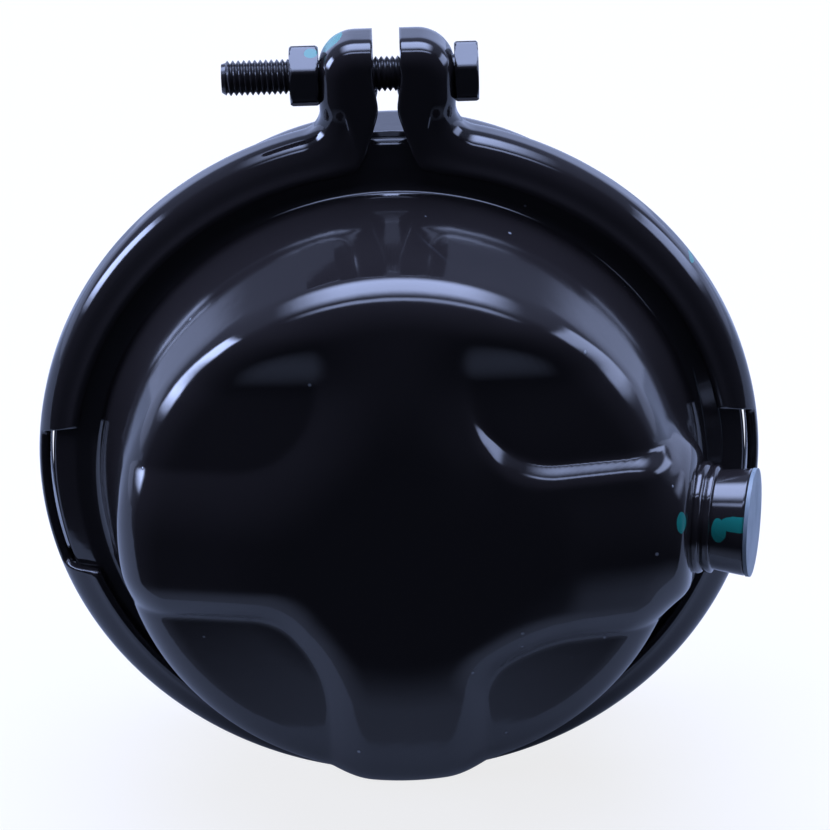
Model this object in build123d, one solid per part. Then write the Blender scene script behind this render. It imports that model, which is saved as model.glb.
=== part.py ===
from build123d import *
import math
import os

# Diaphragm brake chamber. Origin at the centre of the mounting face, +Y along the push rod
# and away from the chamber, +Z towards the clamp lugs, +X towards the air port. Millimetres.
# Axial sizes of the two housings are measured from the seam, the plane where their flanges meet.

# Housings and the flanges that the clamp holds
SHEET = 3.0
REAR_DEPTH = 44.0
SEAM_Y = -REAR_DEPTH
FLANGE_RADIUS = 82.5
FLANGE_RIM_WIDTH = 5.5
FLANGE_FLAT_RADIUS = FLANGE_RADIUS - FLANGE_RIM_WIDTH
FLANGE_ROOT_BEND = 3.5
FLANGE_KNEE_BEND = 4.0
FLANGE_RIM_BEND = 1.4

# The diaphragm's bead sets how far apart the two flanges stand
BEAD_AXIAL = 3.1
BEAD_RIM_AXIAL = 1.6
BEAD_FIT = 0.1
BEAD_RADIUS = FLANGE_RADIUS - 0.9
FLANGE_OUTER_AXIAL = BEAD_AXIAL + BEAD_FIT + SHEET
FLANGE_RIM_AXIAL = BEAD_RIM_AXIAL + SHEET

# Pressure housing
FACE_DEPTH = 53.5
FACE_DISC_RADIUS = 33.0
ARM_SLOPE = 10.0
EDGE_BEND = 12.0
DISC_BEND = 40.0
WALL_FOOT_RADIUS = FLANGE_RADIUS - 10.36
WALL_DRAFT = 10.0
RECESS_DEPTH = 4.0
RECESS_DISC_RADIUS = 20.0
RECESS_LENGTH = 25.5
RECESS_FADE_DEPTH = FACE_DEPTH - RECESS_LENGTH
RECESS_FADE_DRAFT = 14.0
RECESS_WALL_SLOPE = 32.0
CROSS_WALL_REACH = 26.0
CROSS_CORNER_BEND = 6.0

# Raised cross on the pressure face, half widths of its arms and its chamfered corners
ARM_UP_LEFT = 14.0
ARM_UP_RIGHT = 12.5
ARM_DOWN_LEFT = 14.6
ARM_DOWN_RIGHT = 15.7
ARM_PORT_UPPER = 15.0
ARM_PORT_LOWER = 22.0
ARM_FAR_UPPER = 15.0
ARM_FAR_LOWER = 14.0
CROSS_CORNER_X = 14.0
CROSS_CORNER_Z = 16.0
CROSS_CORNER_LOW_PORT_X = 15.0
CROSS_CORNER_LOW_PORT_Z = 11.5

# Port pad, boss, weld and plug
PORT_LEAN = 14.0
PORT_DEPTH = 32.0
PORT_Z = -2.0
PAD_PROUD = 1.5
PAD_START_DEPTH = PORT_DEPTH - 18.0
PAD_SIDE_MARGIN = 4.0
PORT_BORE_RADIUS = 7.25
PORT_MOUTH_RADIUS = PORT_BORE_RADIUS + 1.35
PORT_MOUTH_DEPTH = 2.2
SPIGOT_RADIUS = PORT_BORE_RADIUS + 1.75
SPIGOT_FIT = 0.05
BOSS_FOOT_RADIUS = SPIGOT_RADIUS + 2.0
BOSS_END_RADIUS = BOSS_FOOT_RADIUS + 1.5
BOSS_LENGTH = 13.0
WELD_LEG = 2.6
WELD_HEIGHT = 5.6
WELD_WAIST_HEIGHT = 0.55 * WELD_HEIGHT
WELD_WAIST = 1.3
PLUG_HEAD_RADIUS = BOSS_END_RADIUS + 0.1
PLUG_HEAD_THICKNESS = 0.9
PLUG_STUB_LENGTH = PORT_MOUTH_DEPTH - 0.6
PLUG_CLEARANCE = 0.1

# Rod, and the opening and guard that it passes through
ROD_RADIUS = 8.0
ROD_EXTENSION = 58.0
ROD_CHAMFER = 1.2
ROD_WELD_LEG = 4.0
ROD_OPENING_RADIUS = ROD_RADIUS + 6.0
SEAL_LIP_GAP = 0.3
SEAL_FLANGE_WIDTH = 5.0
SEAL_INNER_FLANGE_WIDTH = 3.0
SEAL_FLANGE_THICKNESS = 2.4
SEAL_GROOVE_FIT = 0.05

# Rear housing
REAR_WALL_RADIUS = FLANGE_RADIUS - 9.0
REAR_EDGE_BEND = 5.0
REAR_ROOT_BEND = 2.0
DISH_RADIUS = ROD_OPENING_RADIUS + 12.0
DISH_DEPTH = 3.2
DISH_FOOT_BEND = 0.6
DISH_RIM_BEND = 3.6
DRAIN_RADIUS = 4.5
DRAIN_Y = -REAR_DEPTH / 2
DRAIN_PLUGGED_ANGLES = (0, 180)
DRAIN_OPEN_ANGLE = 270
DRAIN_PLUG_FIT = 0.05
DRAIN_PLUG_HEAD_RADIUS = DRAIN_RADIUS + 2.0
DRAIN_PLUG_HEAD = 1.6
DRAIN_PLUG_CHAMFER = 1.2

# Studs
STUD_SPACING = 120.65
STUD_RADIUS = 8.0
STUD_LENGTH = 38.0
STUD_SHOULDER_RADIUS = STUD_RADIUS + 0.5
STUD_SHOULDER_INSET = 0.05
STUD_HEAD_RADIUS = STUD_RADIUS + 3.0
STUD_HEAD_THICKNESS = 5.0
STUD_HEAD_GAP = 0.05
STUD_FIT = 0.05
STUD_CHAMFER = 1.2

# Clamp band
BAND_SHEET = 2.5
BAND_FIT = 0.05
BAND_RADIUS = FLANGE_RADIUS + BAND_SHEET + 1.0
BAND_LIP_RADIUS = FLANGE_RADIUS - 4.7
BAND_CORNER_BEND = 4.5
BAND_LIP_BEND = 0.8
NOTCH_TOP_ANGLE = 5.5
NOTCH_BOTTOM_ANGLE = -20.5
NOTCH_BAND_HALF = 4.6

# Clamp bolt and nut
BOLT_RADIUS = 4.0
BOLT_Z = BAND_RADIUS + 11.5
BOLT_LENGTH = 53.0
BOLT_HEAD_FLATS = 13.0
BOLT_HEAD_HEIGHT = 5.3
BOLT_NUT_HEIGHT = 6.5
BOLT_HOLE_CLEARANCE = 0.5
BOLT_NUT_FIT = 0.05
BOLT_CHAMFER = 0.9
HEX_CORNER_ANGLE = 26.5
HEX_END_ANGLE = 30.0

# Lugs: the band's ends, turned up and hollow, with a waist at the bolt and a wider gap below
LUG_OUTER_X = 15.5
LUG_TOP_Z = BOLT_Z + 9.5
LUG_HALF_WIDTH = FLANGE_OUTER_AXIAL + BAND_SHEET
LUG_CORNER_BEND = 8.5
LUG_EDGE_BEND = 3.6
LUG_FOOT_BEND = 5.0
LUG_GAP_X = 3.1
LUG_WAIST_X = 2.0
LUG_WAIST_Z = BAND_RADIUS + 5.0
BAND_GAP_X = 6.0
BAND_GAP_Z = BAND_RADIUS - 7.0
LUG_GAP_BEND = 8.0
LUG_WAIST_BEND = 6.0
BAND_GAP_BEND = 4.0

# Diaphragm: its rounded corner lies under the outer end of the sloping recess floors
ARM_FALL = (WALL_FOOT_RADIUS - FACE_DISC_RADIUS) * math.tan(math.radians(ARM_SLOPE))
DIAPHRAGM_THICKNESS = 3.0
DIAPHRAGM_FACE_GAP = SHEET + RECESS_DEPTH - 2.0
DIAPHRAGM_FACE_DEPTH = FACE_DEPTH - ARM_FALL - DIAPHRAGM_FACE_GAP
DIAPHRAGM_CORNER = 11.0
DIAPHRAGM_WALL_GAP = 0.8
DIAPHRAGM_ROOT_BEND = 7.0
DIAPHRAGM_INNER_ROOT_BEND = 2.0
BEAD_EDGE_BEND = 0.5

# Push plate and spring
PLATE_GAP = 0.4
PLATE_SHEET = 3.0
PLATE_SIDE_GAP = 7.5
PLATE_CORNER = 6.0
PLATE_RIM_HEIGHT = 9.0
SPRING_WIRE = 4.4
SPRING_BIG_RADIUS = 42.0
SPRING_SMALL_RADIUS = 23.0
SPRING_TURNS = 5
SPRING_GAP = 0.3

# Lock nut, clevis and pin
LOCK_NUT_FLATS = 3 * ROD_RADIUS
LOCK_NUT_HEIGHT = 8.0
ROD_NUT_FIT = 0.05
PIN_RADIUS = 7.0
PIN_FIT = 0.05
PIN_HEAD_RADIUS = PIN_RADIUS + 3.0
PIN_HEAD_HEIGHT = 3.0
PIN_HEAD_CHAMFER = 0.8
PIN_END_CHAMFER = 1.0
PIN_SIDE_GAP = 0.2
PIN_TAIL = 7.0
WASHER_RADIUS = PIN_RADIUS + 5.0
WASHER_THICKNESS = 2.0
CLEVIS_START = 44.0
CLEVIS_NECK_RADIUS = ROD_RADIUS + 5.5
CLEVIS_NECK_LENGTH = 14.0
CLEVIS_SHOULDER = 6.0
CLEVIS_SHOULDER_BEND = 6.0
CLEVIS_NECK_BEND = 3.0
CLEVIS_FORK_GAP = 16.0
CLEVIS_EAR_THICKNESS = 9.0
CLEVIS_WIDTH = CLEVIS_FORK_GAP + 2 * CLEVIS_EAR_THICKNESS
CLEVIS_EAR_RADIUS = PIN_RADIUS + 6.0
CLEVIS_PIN_REACH = 42.0
CLEVIS_THROAT = 20.0
CLEVIS_ROD_BORE = 22.0

# Cotter: a folded half-round wire, its eye above the clevis pin and its legs spread below
COTTER_WIRE_RADIUS = 0.8
COTTER_RADIUS = 2 * COTTER_WIRE_RADIUS
COTTER_HOLE_RADIUS = COTTER_RADIUS + 0.4
COTTER_EYE_RADIUS = 2.6
COTTER_LEG_LENGTH = 5.0
COTTER_LEG_SPREAD = 35.0
COTTER_SIDE_GAP = 0.2


def seam_forward(depth):
    """Y of a plane that lies forward of the seam, on the pressure side."""
    return SEAM_Y - depth


def revolved(edges):
    """Solid turned about the chamber axis from a closed outline of radius and Y."""
    return revolve(make_face(edges), Axis.Y)


def closed_outline(points, radii):
    """Closed outline with rounded corners: one radius for each point."""
    return FilletPolyline(*points, radius=radii, close=True).edges()


def offset_path(points, distance):
    """Corner points of the same open path moved sideways to its left."""
    moved = []
    for index in range(len(points)):
        before = Vector(*points[max(index - 1, 0)])
        here = Vector(*points[index])
        after = Vector(*points[min(index + 1, len(points) - 1)])
        into = (here - before) if index > 0 else (after - here)
        out_of = (after - here) if index < len(points) - 1 else (here - before)
        left_in = Vector(-into.Y, into.X).normalized()
        left_out = Vector(-out_of.Y, out_of.X).normalized()
        mitre = left_in + left_out
        scale = distance * 2 / (mitre.length**2)
        moved.append((here.X + mitre.X * scale, here.Y + mitre.Y * scale))
    return moved


def turn_side(points, index):
    """1 where the path turns left at a corner and -1 where it turns right."""
    before, here, after = (Vector(*points[index + step]) for step in (-1, 0, 1))
    cross = (here - before).cross(after - here)
    return 1 if cross.Z > 0 else -1


def sheet_outline(points, bends, thickness):
    """Outline of a pressed sheet: an open path on one side and its offset on the left."""
    inner_points = offset_path(points, thickness)
    inner_bends = []
    for number, bend in enumerate(bends):
        side = turn_side(points, number + 1)
        inner_bends.append(max(bend - side * thickness, 0.2))
    first = FilletPolyline(*points, radius=bends)
    second = FilletPolyline(*inner_points, radius=inner_bends)
    ends = [Line(points[0], inner_points[0]), Line(points[-1], inner_points[-1])]
    return [*first.edges(), *second.edges(), *ends]


def edge_radial():
    """Radius at the centre of the edge's rounding, set by the wall's foot at the seam."""
    slope, draft = math.radians(ARM_SLOPE), math.radians(WALL_DRAFT)
    disc_end = EDGE_BEND * math.sin(slope) - FACE_DISC_RADIUS
    height = FACE_DEPTH + EDGE_BEND * (math.sin(draft) - math.cos(slope))
    foot = WALL_FOOT_RADIUS - EDGE_BEND * math.cos(draft)
    foot -= (height - disc_end * math.tan(slope)) * math.tan(draft)
    return foot / (1 - math.tan(slope) * math.tan(draft))


def wall_radius(depth):
    """Outer radius of the pressure housing's drafted wall at a depth from the seam."""
    return WALL_FOOT_RADIUS - depth * math.tan(math.radians(WALL_DRAFT))


def meeting_point(disc_radius, disc_depth, wall_foot, draft):
    """Radius and depth where the sloping face meets the wall's line through its foot."""
    slope = math.tan(math.radians(ARM_SLOPE))
    lean = math.tan(math.radians(draft))
    foot_radius, foot_depth = wall_foot
    top = disc_depth + disc_radius * slope
    radius = (foot_radius + foot_depth * lean - top * lean) / (1 - slope * lean)
    return radius, top - radius * slope


def face_points():
    """Corners of the cup's outline through an arm: face disc, edge and wall, radius and depth."""
    foot = (wall_radius(0), 0)
    edge = meeting_point(FACE_DISC_RADIUS, FACE_DEPTH, foot, WALL_DRAFT)
    return [(0, FACE_DEPTH), (FACE_DISC_RADIUS, FACE_DEPTH), edge, foot]


def recess_points():
    """Corners of the outline through a recess, whose floor runs out in the drafted wall."""
    slope = math.tan(math.radians(ARM_SLOPE))
    fade = (wall_radius(RECESS_FADE_DEPTH), RECESS_FADE_DEPTH)
    depth = FACE_DEPTH - RECESS_DEPTH + (FACE_DISC_RADIUS - RECESS_DISC_RADIUS) * slope
    edge = meeting_point(RECESS_DISC_RADIUS, depth, fade, RECESS_FADE_DRAFT)
    lean = math.tan(math.radians(RECESS_FADE_DRAFT))
    foot = (fade[0] + RECESS_FADE_DEPTH * lean, 0)
    return [(0, depth), (RECESS_DISC_RADIUS, depth), edge, foot]


def cup_solid(points, inset):
    """A cup outline turned to a filled solid, its surface moved in by a thickness."""
    points = [(radius, seam_forward(depth)) for radius, depth in points]
    points = offset_path(points, inset)
    points[0] = (0, points[0][1])
    points[-1] = (points[-1][0], SEAM_Y)
    bends = [DISC_BEND, EDGE_BEND - inset]
    path = FilletPolyline(*points, radius=bends)
    closing = Polyline(points[-1], (0, SEAM_Y), points[0])
    return revolved([*path.edges(), *closing.edges()])


def cross_outline(shrink):
    """Plan of the raised cross in X and Z, its arms narrowed by a margin on each side."""
    reach = 2 * FLANGE_RADIUS
    up_left, up_right = ARM_UP_LEFT - shrink, ARM_UP_RIGHT - shrink
    down_left, down_right = ARM_DOWN_LEFT - shrink, ARM_DOWN_RIGHT - shrink
    port_up, port_low = ARM_PORT_UPPER - shrink, ARM_PORT_LOWER - shrink
    far_up, far_low = ARM_FAR_UPPER - shrink, ARM_FAR_LOWER - shrink
    return [
        (up_right, reach),
        (up_right, port_up + CROSS_CORNER_Z),
        (up_right + CROSS_CORNER_X, port_up),
        (reach, port_up),
        (reach, -port_low),
        (down_right + CROSS_CORNER_LOW_PORT_X, -port_low),
        (down_right, -port_low - CROSS_CORNER_LOW_PORT_Z),
        (down_right, -reach),
        (-down_left, -reach),
        (-down_left, -far_low - CROSS_CORNER_Z),
        (-down_left - CROSS_CORNER_X, -far_low),
        (-reach, -far_low),
        (-reach, far_up),
        (-up_left - CROSS_CORNER_X, far_up),
        (-up_left, far_up + CROSS_CORNER_Z),
        (-up_left, reach),
    ]


def cross_prism(inset):
    """Prism that bounds the raised cross: flat walls that widen downwards, rounded corners."""
    widening = math.tan(math.radians(RECESS_WALL_SLOPE))
    shift = inset * math.tan(math.radians(45 - RECESS_WALL_SLOPE / 2))
    crest = FACE_DEPTH - RECESS_DEPTH - inset
    foot = crest - CROSS_WALL_REACH
    rings = []
    for depth in (FACE_DEPTH + RECESS_DEPTH, foot):
        outline = cross_outline(shift - (crest - depth) * widening)
        rings.append([(x, seam_forward(depth), z) for x, z in outline])
    upper, lower = rings
    walls = []
    for index in range(len(upper)):
        corners = [upper[index - 1], upper[index], lower[index], lower[index - 1]]
        walls.append(Face(Wire.make_polygon(corners, close=True)))
    ends = [Face(Wire.make_polygon(ring, close=True)) for ring in rings]
    slopes = Solid(Shell([*walls, *ends]))
    corners = [
        edge
        for edge in slopes.edges()
        if edge.bounding_box().size.Y > RECESS_DEPTH
        and math.hypot(edge.center().X, edge.center().Z) < FLANGE_RADIUS
    ]
    slopes = slopes.fillet(CROSS_CORNER_BEND, corners)
    return slopes + extrude(ends[1], amount=foot, dir=(0, 1, 0))


def pad_radial():
    """How far from the chamber's axis the middle of the port's pad lies."""
    return wall_radius(PORT_DEPTH) + PAD_PROUD


def pad_plane(inset=0.0):
    """Plane of the port's pad, facing along the port's axis."""
    lean = math.radians(PORT_LEAN)
    axis = Vector(math.cos(lean), -math.sin(lean), 0)
    centre = Vector(pad_radial(), seam_forward(PORT_DEPTH), PORT_Z) - axis * inset
    return Plane(origin=centre, x_dir=(0, 0, 1), z_dir=axis)


def face_cap(inset):
    """Everything behind the sloping face, its slope carried on past the edge's rounding."""
    slope = math.tan(math.radians(ARM_SLOPE))
    reach = 2 * FLANGE_RADIUS
    points = [(0, FACE_DEPTH), (FACE_DISC_RADIUS, FACE_DEPTH)]
    points.append((reach, FACE_DEPTH - (reach - FACE_DISC_RADIUS) * slope))
    points = offset_path([(radius, seam_forward(depth)) for radius, depth in points], inset)
    points[0] = (0, points[0][1])
    path = FilletPolyline(*points, radius=[DISC_BEND])
    closing = Polyline(points[-1], (reach, 0), (0, 0), points[0])
    return revolved([*path.edges(), *closing.edges()])


def pad_solid(inset):
    """Flat block that turns the end of the port's arm into a pad."""
    lean = math.tan(math.radians(PORT_LEAN))
    origin = pad_plane(inset).origin
    origin_depth = SEAM_Y - origin.Y

    def pad_x(depth):
        return origin.X - (depth - origin_depth) * lean

    start = PAD_START_DEPTH + inset
    heel = edge_radial() - EDGE_BEND
    outline = [
        (heel, seam_forward(start)),
        (pad_x(start), seam_forward(start)),
        (pad_x(FACE_DEPTH), seam_forward(FACE_DEPTH)),
        (heel, seam_forward(FACE_DEPTH)),
    ]
    profile = make_face(Polyline(*outline, close=True))
    shift = inset * math.tan(math.radians(45 - RECESS_WALL_SLOPE / 2))
    low = -(ARM_PORT_LOWER + PAD_SIDE_MARGIN - shift)
    high = ARM_PORT_UPPER + PAD_SIDE_MARGIN - shift
    block = Pos(0, 0, low) * extrude(profile, amount=high - low)
    return block & face_cap(inset)


def cup_form(inset):
    """The pressed cup as a filled form, moved in by a sheet thickness for its inside."""
    raised = cup_solid(face_points(), inset) + pad_solid(inset)
    return raised & (cup_solid(recess_points(), inset) + cross_prism(inset))


def rounded_rim(flange, rim_y):
    """Flange with its outer corner rounded, at the rim's edge in one plane."""
    rim = [
        edge
        for edge in flange.edges().filter_by(GeomType.CIRCLE)
        if abs(edge.radius - FLANGE_RADIUS) < 0.01 and abs(edge.center().Y - rim_y) < 0.01
    ]
    return fillet(rim, FLANGE_RIM_BEND)


def pressure_housing():
    """Deep-drawn cup with its raised cross, port pad and clamped flange."""
    join_depth = PAD_START_DEPTH - 1.0
    shell = cup_form(0.0) - cup_form(SHEET)
    open_end = 4 * FLANGE_RADIUS
    keep = Pos(0, seam_forward(join_depth - 2.0), 0) * Box(
        open_end, open_end, open_end, align=(Align.CENTER, Align.MAX, Align.CENTER)
    )
    shell = shell & keep
    path = [
        (wall_radius(join_depth), seam_forward(join_depth)),
        (wall_radius(FLANGE_OUTER_AXIAL), seam_forward(FLANGE_OUTER_AXIAL)),
        (FLANGE_FLAT_RADIUS, seam_forward(FLANGE_OUTER_AXIAL)),
        (FLANGE_RADIUS, seam_forward(FLANGE_RIM_AXIAL)),
    ]
    flange = revolved(sheet_outline(path, [FLANGE_ROOT_BEND, FLANGE_KNEE_BEND], SHEET))
    flange = rounded_rim(flange, seam_forward(FLANGE_RIM_AXIAL))
    port_hole = pad_plane() * Cylinder(SPIGOT_RADIUS + SPIGOT_FIT, 6 * SHEET)
    return shell + flange - port_hole


def port_profile(points):
    """Solid turned about the port's axis from radius and height above the pad."""
    face = make_face(Polyline(*points, close=True))
    return pad_plane() * revolve(Plane.XZ * face, Axis.Z)


def port_boss():
    """Conical threaded boss with a spigot in the pad and a plain mouth for the plug."""
    return port_profile([
        (PORT_BORE_RADIUS, -SHEET),
        (SPIGOT_RADIUS, -SHEET),
        (SPIGOT_RADIUS, 0),
        (BOSS_FOOT_RADIUS, 0),
        (BOSS_END_RADIUS, BOSS_LENGTH),
        (PORT_MOUTH_RADIUS, BOSS_LENGTH),
        (PORT_MOUTH_RADIUS, BOSS_LENGTH - PORT_MOUTH_DEPTH),
        (PORT_BORE_RADIUS, BOSS_LENGTH - PORT_MOUTH_DEPTH),
    ])


def boss_radius(height):
    """Outer radius of the conical boss at a height above the pad."""
    return BOSS_FOOT_RADIUS + (BOSS_END_RADIUS - BOSS_FOOT_RADIUS) * height / BOSS_LENGTH


def port_weld_bead():
    """Two-pass weld round the foot of the boss: a wide low lobe and a narrow high one."""
    toe = (BOSS_FOOT_RADIUS + WELD_LEG, 0)
    low_lobe = (toe[0] - 0.15, 0.6 * WELD_WAIST_HEIGHT)
    waist = (boss_radius(WELD_WAIST_HEIGHT) + WELD_WAIST, WELD_WAIST_HEIGHT)
    high_lobe = (waist[0] - 0.1, 0.8 * WELD_HEIGHT)
    top = (boss_radius(WELD_HEIGHT), WELD_HEIGHT)
    outline = [
        Line((boss_radius(0), 0), toe),
        ThreePointArc(toe, low_lobe, waist),
        ThreePointArc(waist, high_lobe, top),
        Line(top, (boss_radius(0), 0)),
    ]
    face = make_face([edge.edge() for edge in outline])
    return pad_plane() * revolve(Plane.XZ * face, Axis.Z)


def port_plug():
    """Transport plug: a disc over the boss's end with a short stub in its plain mouth."""
    stub = PORT_MOUTH_RADIUS - PLUG_CLEARANCE
    return port_profile([
        (0, BOSS_LENGTH - PLUG_STUB_LENGTH),
        (stub, BOSS_LENGTH - PLUG_STUB_LENGTH),
        (stub, BOSS_LENGTH),
        (PLUG_HEAD_RADIUS, BOSS_LENGTH),
        (PLUG_HEAD_RADIUS, BOSS_LENGTH + PLUG_HEAD_THICKNESS),
        (0, BOSS_LENGTH + PLUG_HEAD_THICKNESS),
    ])


def around_axis(solid, angle):
    """Turn a solid about the chamber axis, from +X towards +Z."""
    return Rot(0, -angle, 0) * solid


def rear_housing():
    """Rear cup with its mounting face, dished rod opening, stud holes and drain holes."""
    path = [
        (ROD_OPENING_RADIUS, -DISH_DEPTH),
        (DISH_RADIUS - DISH_DEPTH, -DISH_DEPTH),
        (DISH_RADIUS, 0),
        (REAR_WALL_RADIUS, 0),
        (REAR_WALL_RADIUS, SEAM_Y + FLANGE_OUTER_AXIAL),
        (FLANGE_FLAT_RADIUS, SEAM_Y + FLANGE_OUTER_AXIAL),
        (FLANGE_RADIUS, SEAM_Y + FLANGE_RIM_AXIAL),
    ]
    bends = [DISH_FOOT_BEND, DISH_RIM_BEND, REAR_EDGE_BEND, REAR_ROOT_BEND, FLANGE_KNEE_BEND]
    cup = revolved(sheet_outline(path, bends, -SHEET))
    cup = rounded_rim(cup, SEAM_Y + FLANGE_RIM_AXIAL)
    for side in (-1, 1):
        cup -= Pos(side * STUD_SPACING / 2, 0, 0) * Rot(90, 0, 0) * Cylinder(
            STUD_SHOULDER_RADIUS + STUD_FIT, 3 * SHEET
        )
    hole = Pos(REAR_WALL_RADIUS, DRAIN_Y, 0) * Rot(0, 90, 0) * Cylinder(DRAIN_RADIUS, 4 * SHEET)
    for angle in (*DRAIN_PLUGGED_ANGLES, DRAIN_OPEN_ANGLE):
        cup -= around_axis(hole, angle)
    return cup


def drain_plugs():
    """Push-in plugs in the drain holes that do not face down."""
    shank = DRAIN_RADIUS - DRAIN_PLUG_FIT
    seat = REAR_WALL_RADIUS + DRAIN_PLUG_FIT
    outline = [
        (seat - SHEET, 0),
        (seat - SHEET, shank),
        (seat, shank),
        (seat, DRAIN_PLUG_HEAD_RADIUS),
        (seat + 0.5 * DRAIN_PLUG_HEAD, DRAIN_PLUG_HEAD_RADIUS),
        (seat + DRAIN_PLUG_HEAD, DRAIN_PLUG_HEAD_RADIUS - DRAIN_PLUG_CHAMFER),
        (seat + DRAIN_PLUG_HEAD, 0),
    ]
    plug = Pos(0, DRAIN_Y, 0) * revolve(make_face(Polyline(*outline, close=True)), Axis.X)
    return Compound([around_axis(plug, angle).solid() for angle in DRAIN_PLUGGED_ANGLES])


def mounting_stud(side):
    """Stud with a pressed-in shoulder, its head turned off along the rear housing's wall as a key."""
    head_top = -SHEET - STUD_HEAD_THICKNESS
    outline = [
        (0, head_top),
        (STUD_HEAD_RADIUS, head_top),
        (STUD_HEAD_RADIUS, -SHEET),
        (STUD_SHOULDER_RADIUS, -SHEET),
        (STUD_SHOULDER_RADIUS, -STUD_SHOULDER_INSET),
        (STUD_RADIUS, -STUD_SHOULDER_INSET),
        (STUD_RADIUS, STUD_LENGTH - STUD_CHAMFER),
        (STUD_RADIUS - STUD_CHAMFER, STUD_LENGTH),
        (0, STUD_LENGTH),
    ]
    stud = Pos(side * STUD_SPACING / 2, 0, 0) * revolved(Polyline(*outline, close=True).edges())
    room = REAR_WALL_RADIUS - REAR_EDGE_BEND - STUD_HEAD_GAP
    ahead = Pos(0, 2 * STUD_LENGTH - SHEET, 0) * Box(
        4 * REAR_WALL_RADIUS, 4 * STUD_LENGTH, 4 * REAR_WALL_RADIUS
    )
    return stud & (ahead + Rot(90, 0, 0) * Cylinder(room, 4 * STUD_HEAD_THICKNESS))


def flange_line(radius):
    """Depth of the housing flange's sloping outer side at a radius."""
    slope = (FLANGE_OUTER_AXIAL - FLANGE_RIM_AXIAL) / (FLANGE_RADIUS - FLANGE_FLAT_RADIUS)
    return FLANGE_OUTER_AXIAL - (radius - FLANGE_FLAT_RADIUS) * slope


def band_half_width(radius, outside):
    """Half width of the clamp's channel at a radius, on its inside or its outside."""
    slope = (FLANGE_OUTER_AXIAL - FLANGE_RIM_AXIAL) / (FLANGE_RADIUS - FLANGE_FLAT_RADIUS)
    sheet = BAND_SHEET * math.sqrt(1 + slope**2) if outside else 0.0
    return flange_line(radius) + BAND_FIT + sheet


def band_ring(outer_radius, lip_radius, outside, corner, lip_bend):
    """Full turn of the V section between its lips and its outer wall."""
    rim = band_half_width(outer_radius, outside)
    lip = band_half_width(lip_radius, outside)
    points = [
        (lip_radius, SEAM_Y - lip),
        (outer_radius, SEAM_Y - rim),
        (outer_radius, SEAM_Y + rim),
        (lip_radius, SEAM_Y + lip),
    ]
    return revolved(closed_outline(points, [lip_bend, corner, corner, lip_bend]))


def lug_block(inset):
    """Filled form of the right lug, moved in by a thickness for its hollow."""
    outer_x = LUG_OUTER_X - inset
    top = LUG_TOP_Z - inset
    half = LUG_HALF_WIDTH - inset
    radius = BAND_RADIUS - inset
    foot_x = outer_x + 3 * LUG_FOOT_BEND
    points = [
        (0, BAND_LIP_RADIUS),
        (0, top),
        (outer_x, top),
        (outer_x, math.sqrt(radius**2 - outer_x**2)),
        (foot_x, math.sqrt(radius**2 - foot_x**2)),
        (foot_x, BAND_LIP_RADIUS - BAND_SHEET),
    ]
    bends = [0, 0, LUG_CORNER_BEND - inset, LUG_FOOT_BEND + inset, 0, 0]
    outline = make_face(FilletPolyline(*points, radius=bends, close=True))
    block = extrude(Plane.XZ * outline, amount=half, both=True)
    block = Pos(0, SEAM_Y, 0) * block
    edges = [
        edge
        for edge in block.edges()
        if abs(abs(edge.center().Y - SEAM_Y) - half) < 0.01 and edge.center().Z > radius + 0.5
    ]
    return fillet(edges, LUG_EDGE_BEND - inset)


def band_gap():
    """Space between the band's ends, narrowest where the lugs' sides reach furthest in."""
    side = [
        (LUG_GAP_X, 2 * LUG_TOP_Z),
        (LUG_GAP_X, (BOLT_Z + LUG_TOP_Z) / 2),
        (LUG_WAIST_X, LUG_WAIST_Z),
        (BAND_GAP_X, BAND_GAP_Z),
        (BAND_GAP_X, BAND_LIP_RADIUS - LUG_HALF_WIDTH),
    ]
    mirrored = [(-x, z) for x, z in reversed(side)]
    bends = [0, LUG_GAP_BEND, LUG_WAIST_BEND, BAND_GAP_BEND, 0]
    outline = make_face(FilletPolyline(*side, *mirrored, radius=bends + bends[::-1], close=True))
    return Pos(0, SEAM_Y, 0) * extrude(Plane.XZ * outline, amount=2 * BAND_RADIUS, both=True)


def band_notch():
    """Relief that cuts both side walls of the channel away over a short arc."""
    reach = 2 * BAND_RADIUS
    corners = [(0, 0)]
    for angle in (NOTCH_BOTTOM_ANGLE, NOTCH_TOP_ANGLE):
        corners.append((reach * math.cos(math.radians(angle)), reach * math.sin(math.radians(angle))))
    wedge_face = make_face(Polyline(*corners, close=True))
    wedge = Pos(0, SEAM_Y, 0) * extrude(Plane.XZ * wedge_face, amount=reach, both=True)
    strip = Pos(0, SEAM_Y, 0) * Box(2 * reach, 2 * NOTCH_BAND_HALF, 2 * reach)
    return wedge - strip


def clamp_band():
    """One-piece V-section clamp, its ends turned up as hollow lugs for the bolt."""
    outer = band_ring(BAND_RADIUS, BAND_LIP_RADIUS, True, BAND_CORNER_BEND, BAND_LIP_BEND)
    inner = band_ring(
        BAND_RADIUS - BAND_SHEET,
        BAND_LIP_RADIUS - BAND_SHEET,
        False,
        BAND_CORNER_BEND - BAND_SHEET,
        0,
    )
    bore = Pos(0, SEAM_Y, 0) * Rot(90, 0, 0) * Cylinder(BAND_LIP_RADIUS, 4 * LUG_HALF_WIDTH)
    lug = lug_block(0.0) - bore
    hollow = lug_block(BAND_SHEET)
    band = outer + lug
    band += mirror(lug, Plane.YZ)
    for space in (inner, hollow, mirror(hollow, Plane.YZ), band_gap()):
        band -= space
    notch = band_notch()
    band -= notch
    band -= mirror(notch, Plane.YZ)
    hole = Pos(0, SEAM_Y, BOLT_Z) * Rot(0, 90, 0) * Cylinder(
        BOLT_RADIUS + BOLT_HOLE_CLEARANCE, 4 * LUG_OUTER_X
    )
    return band - hole


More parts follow.
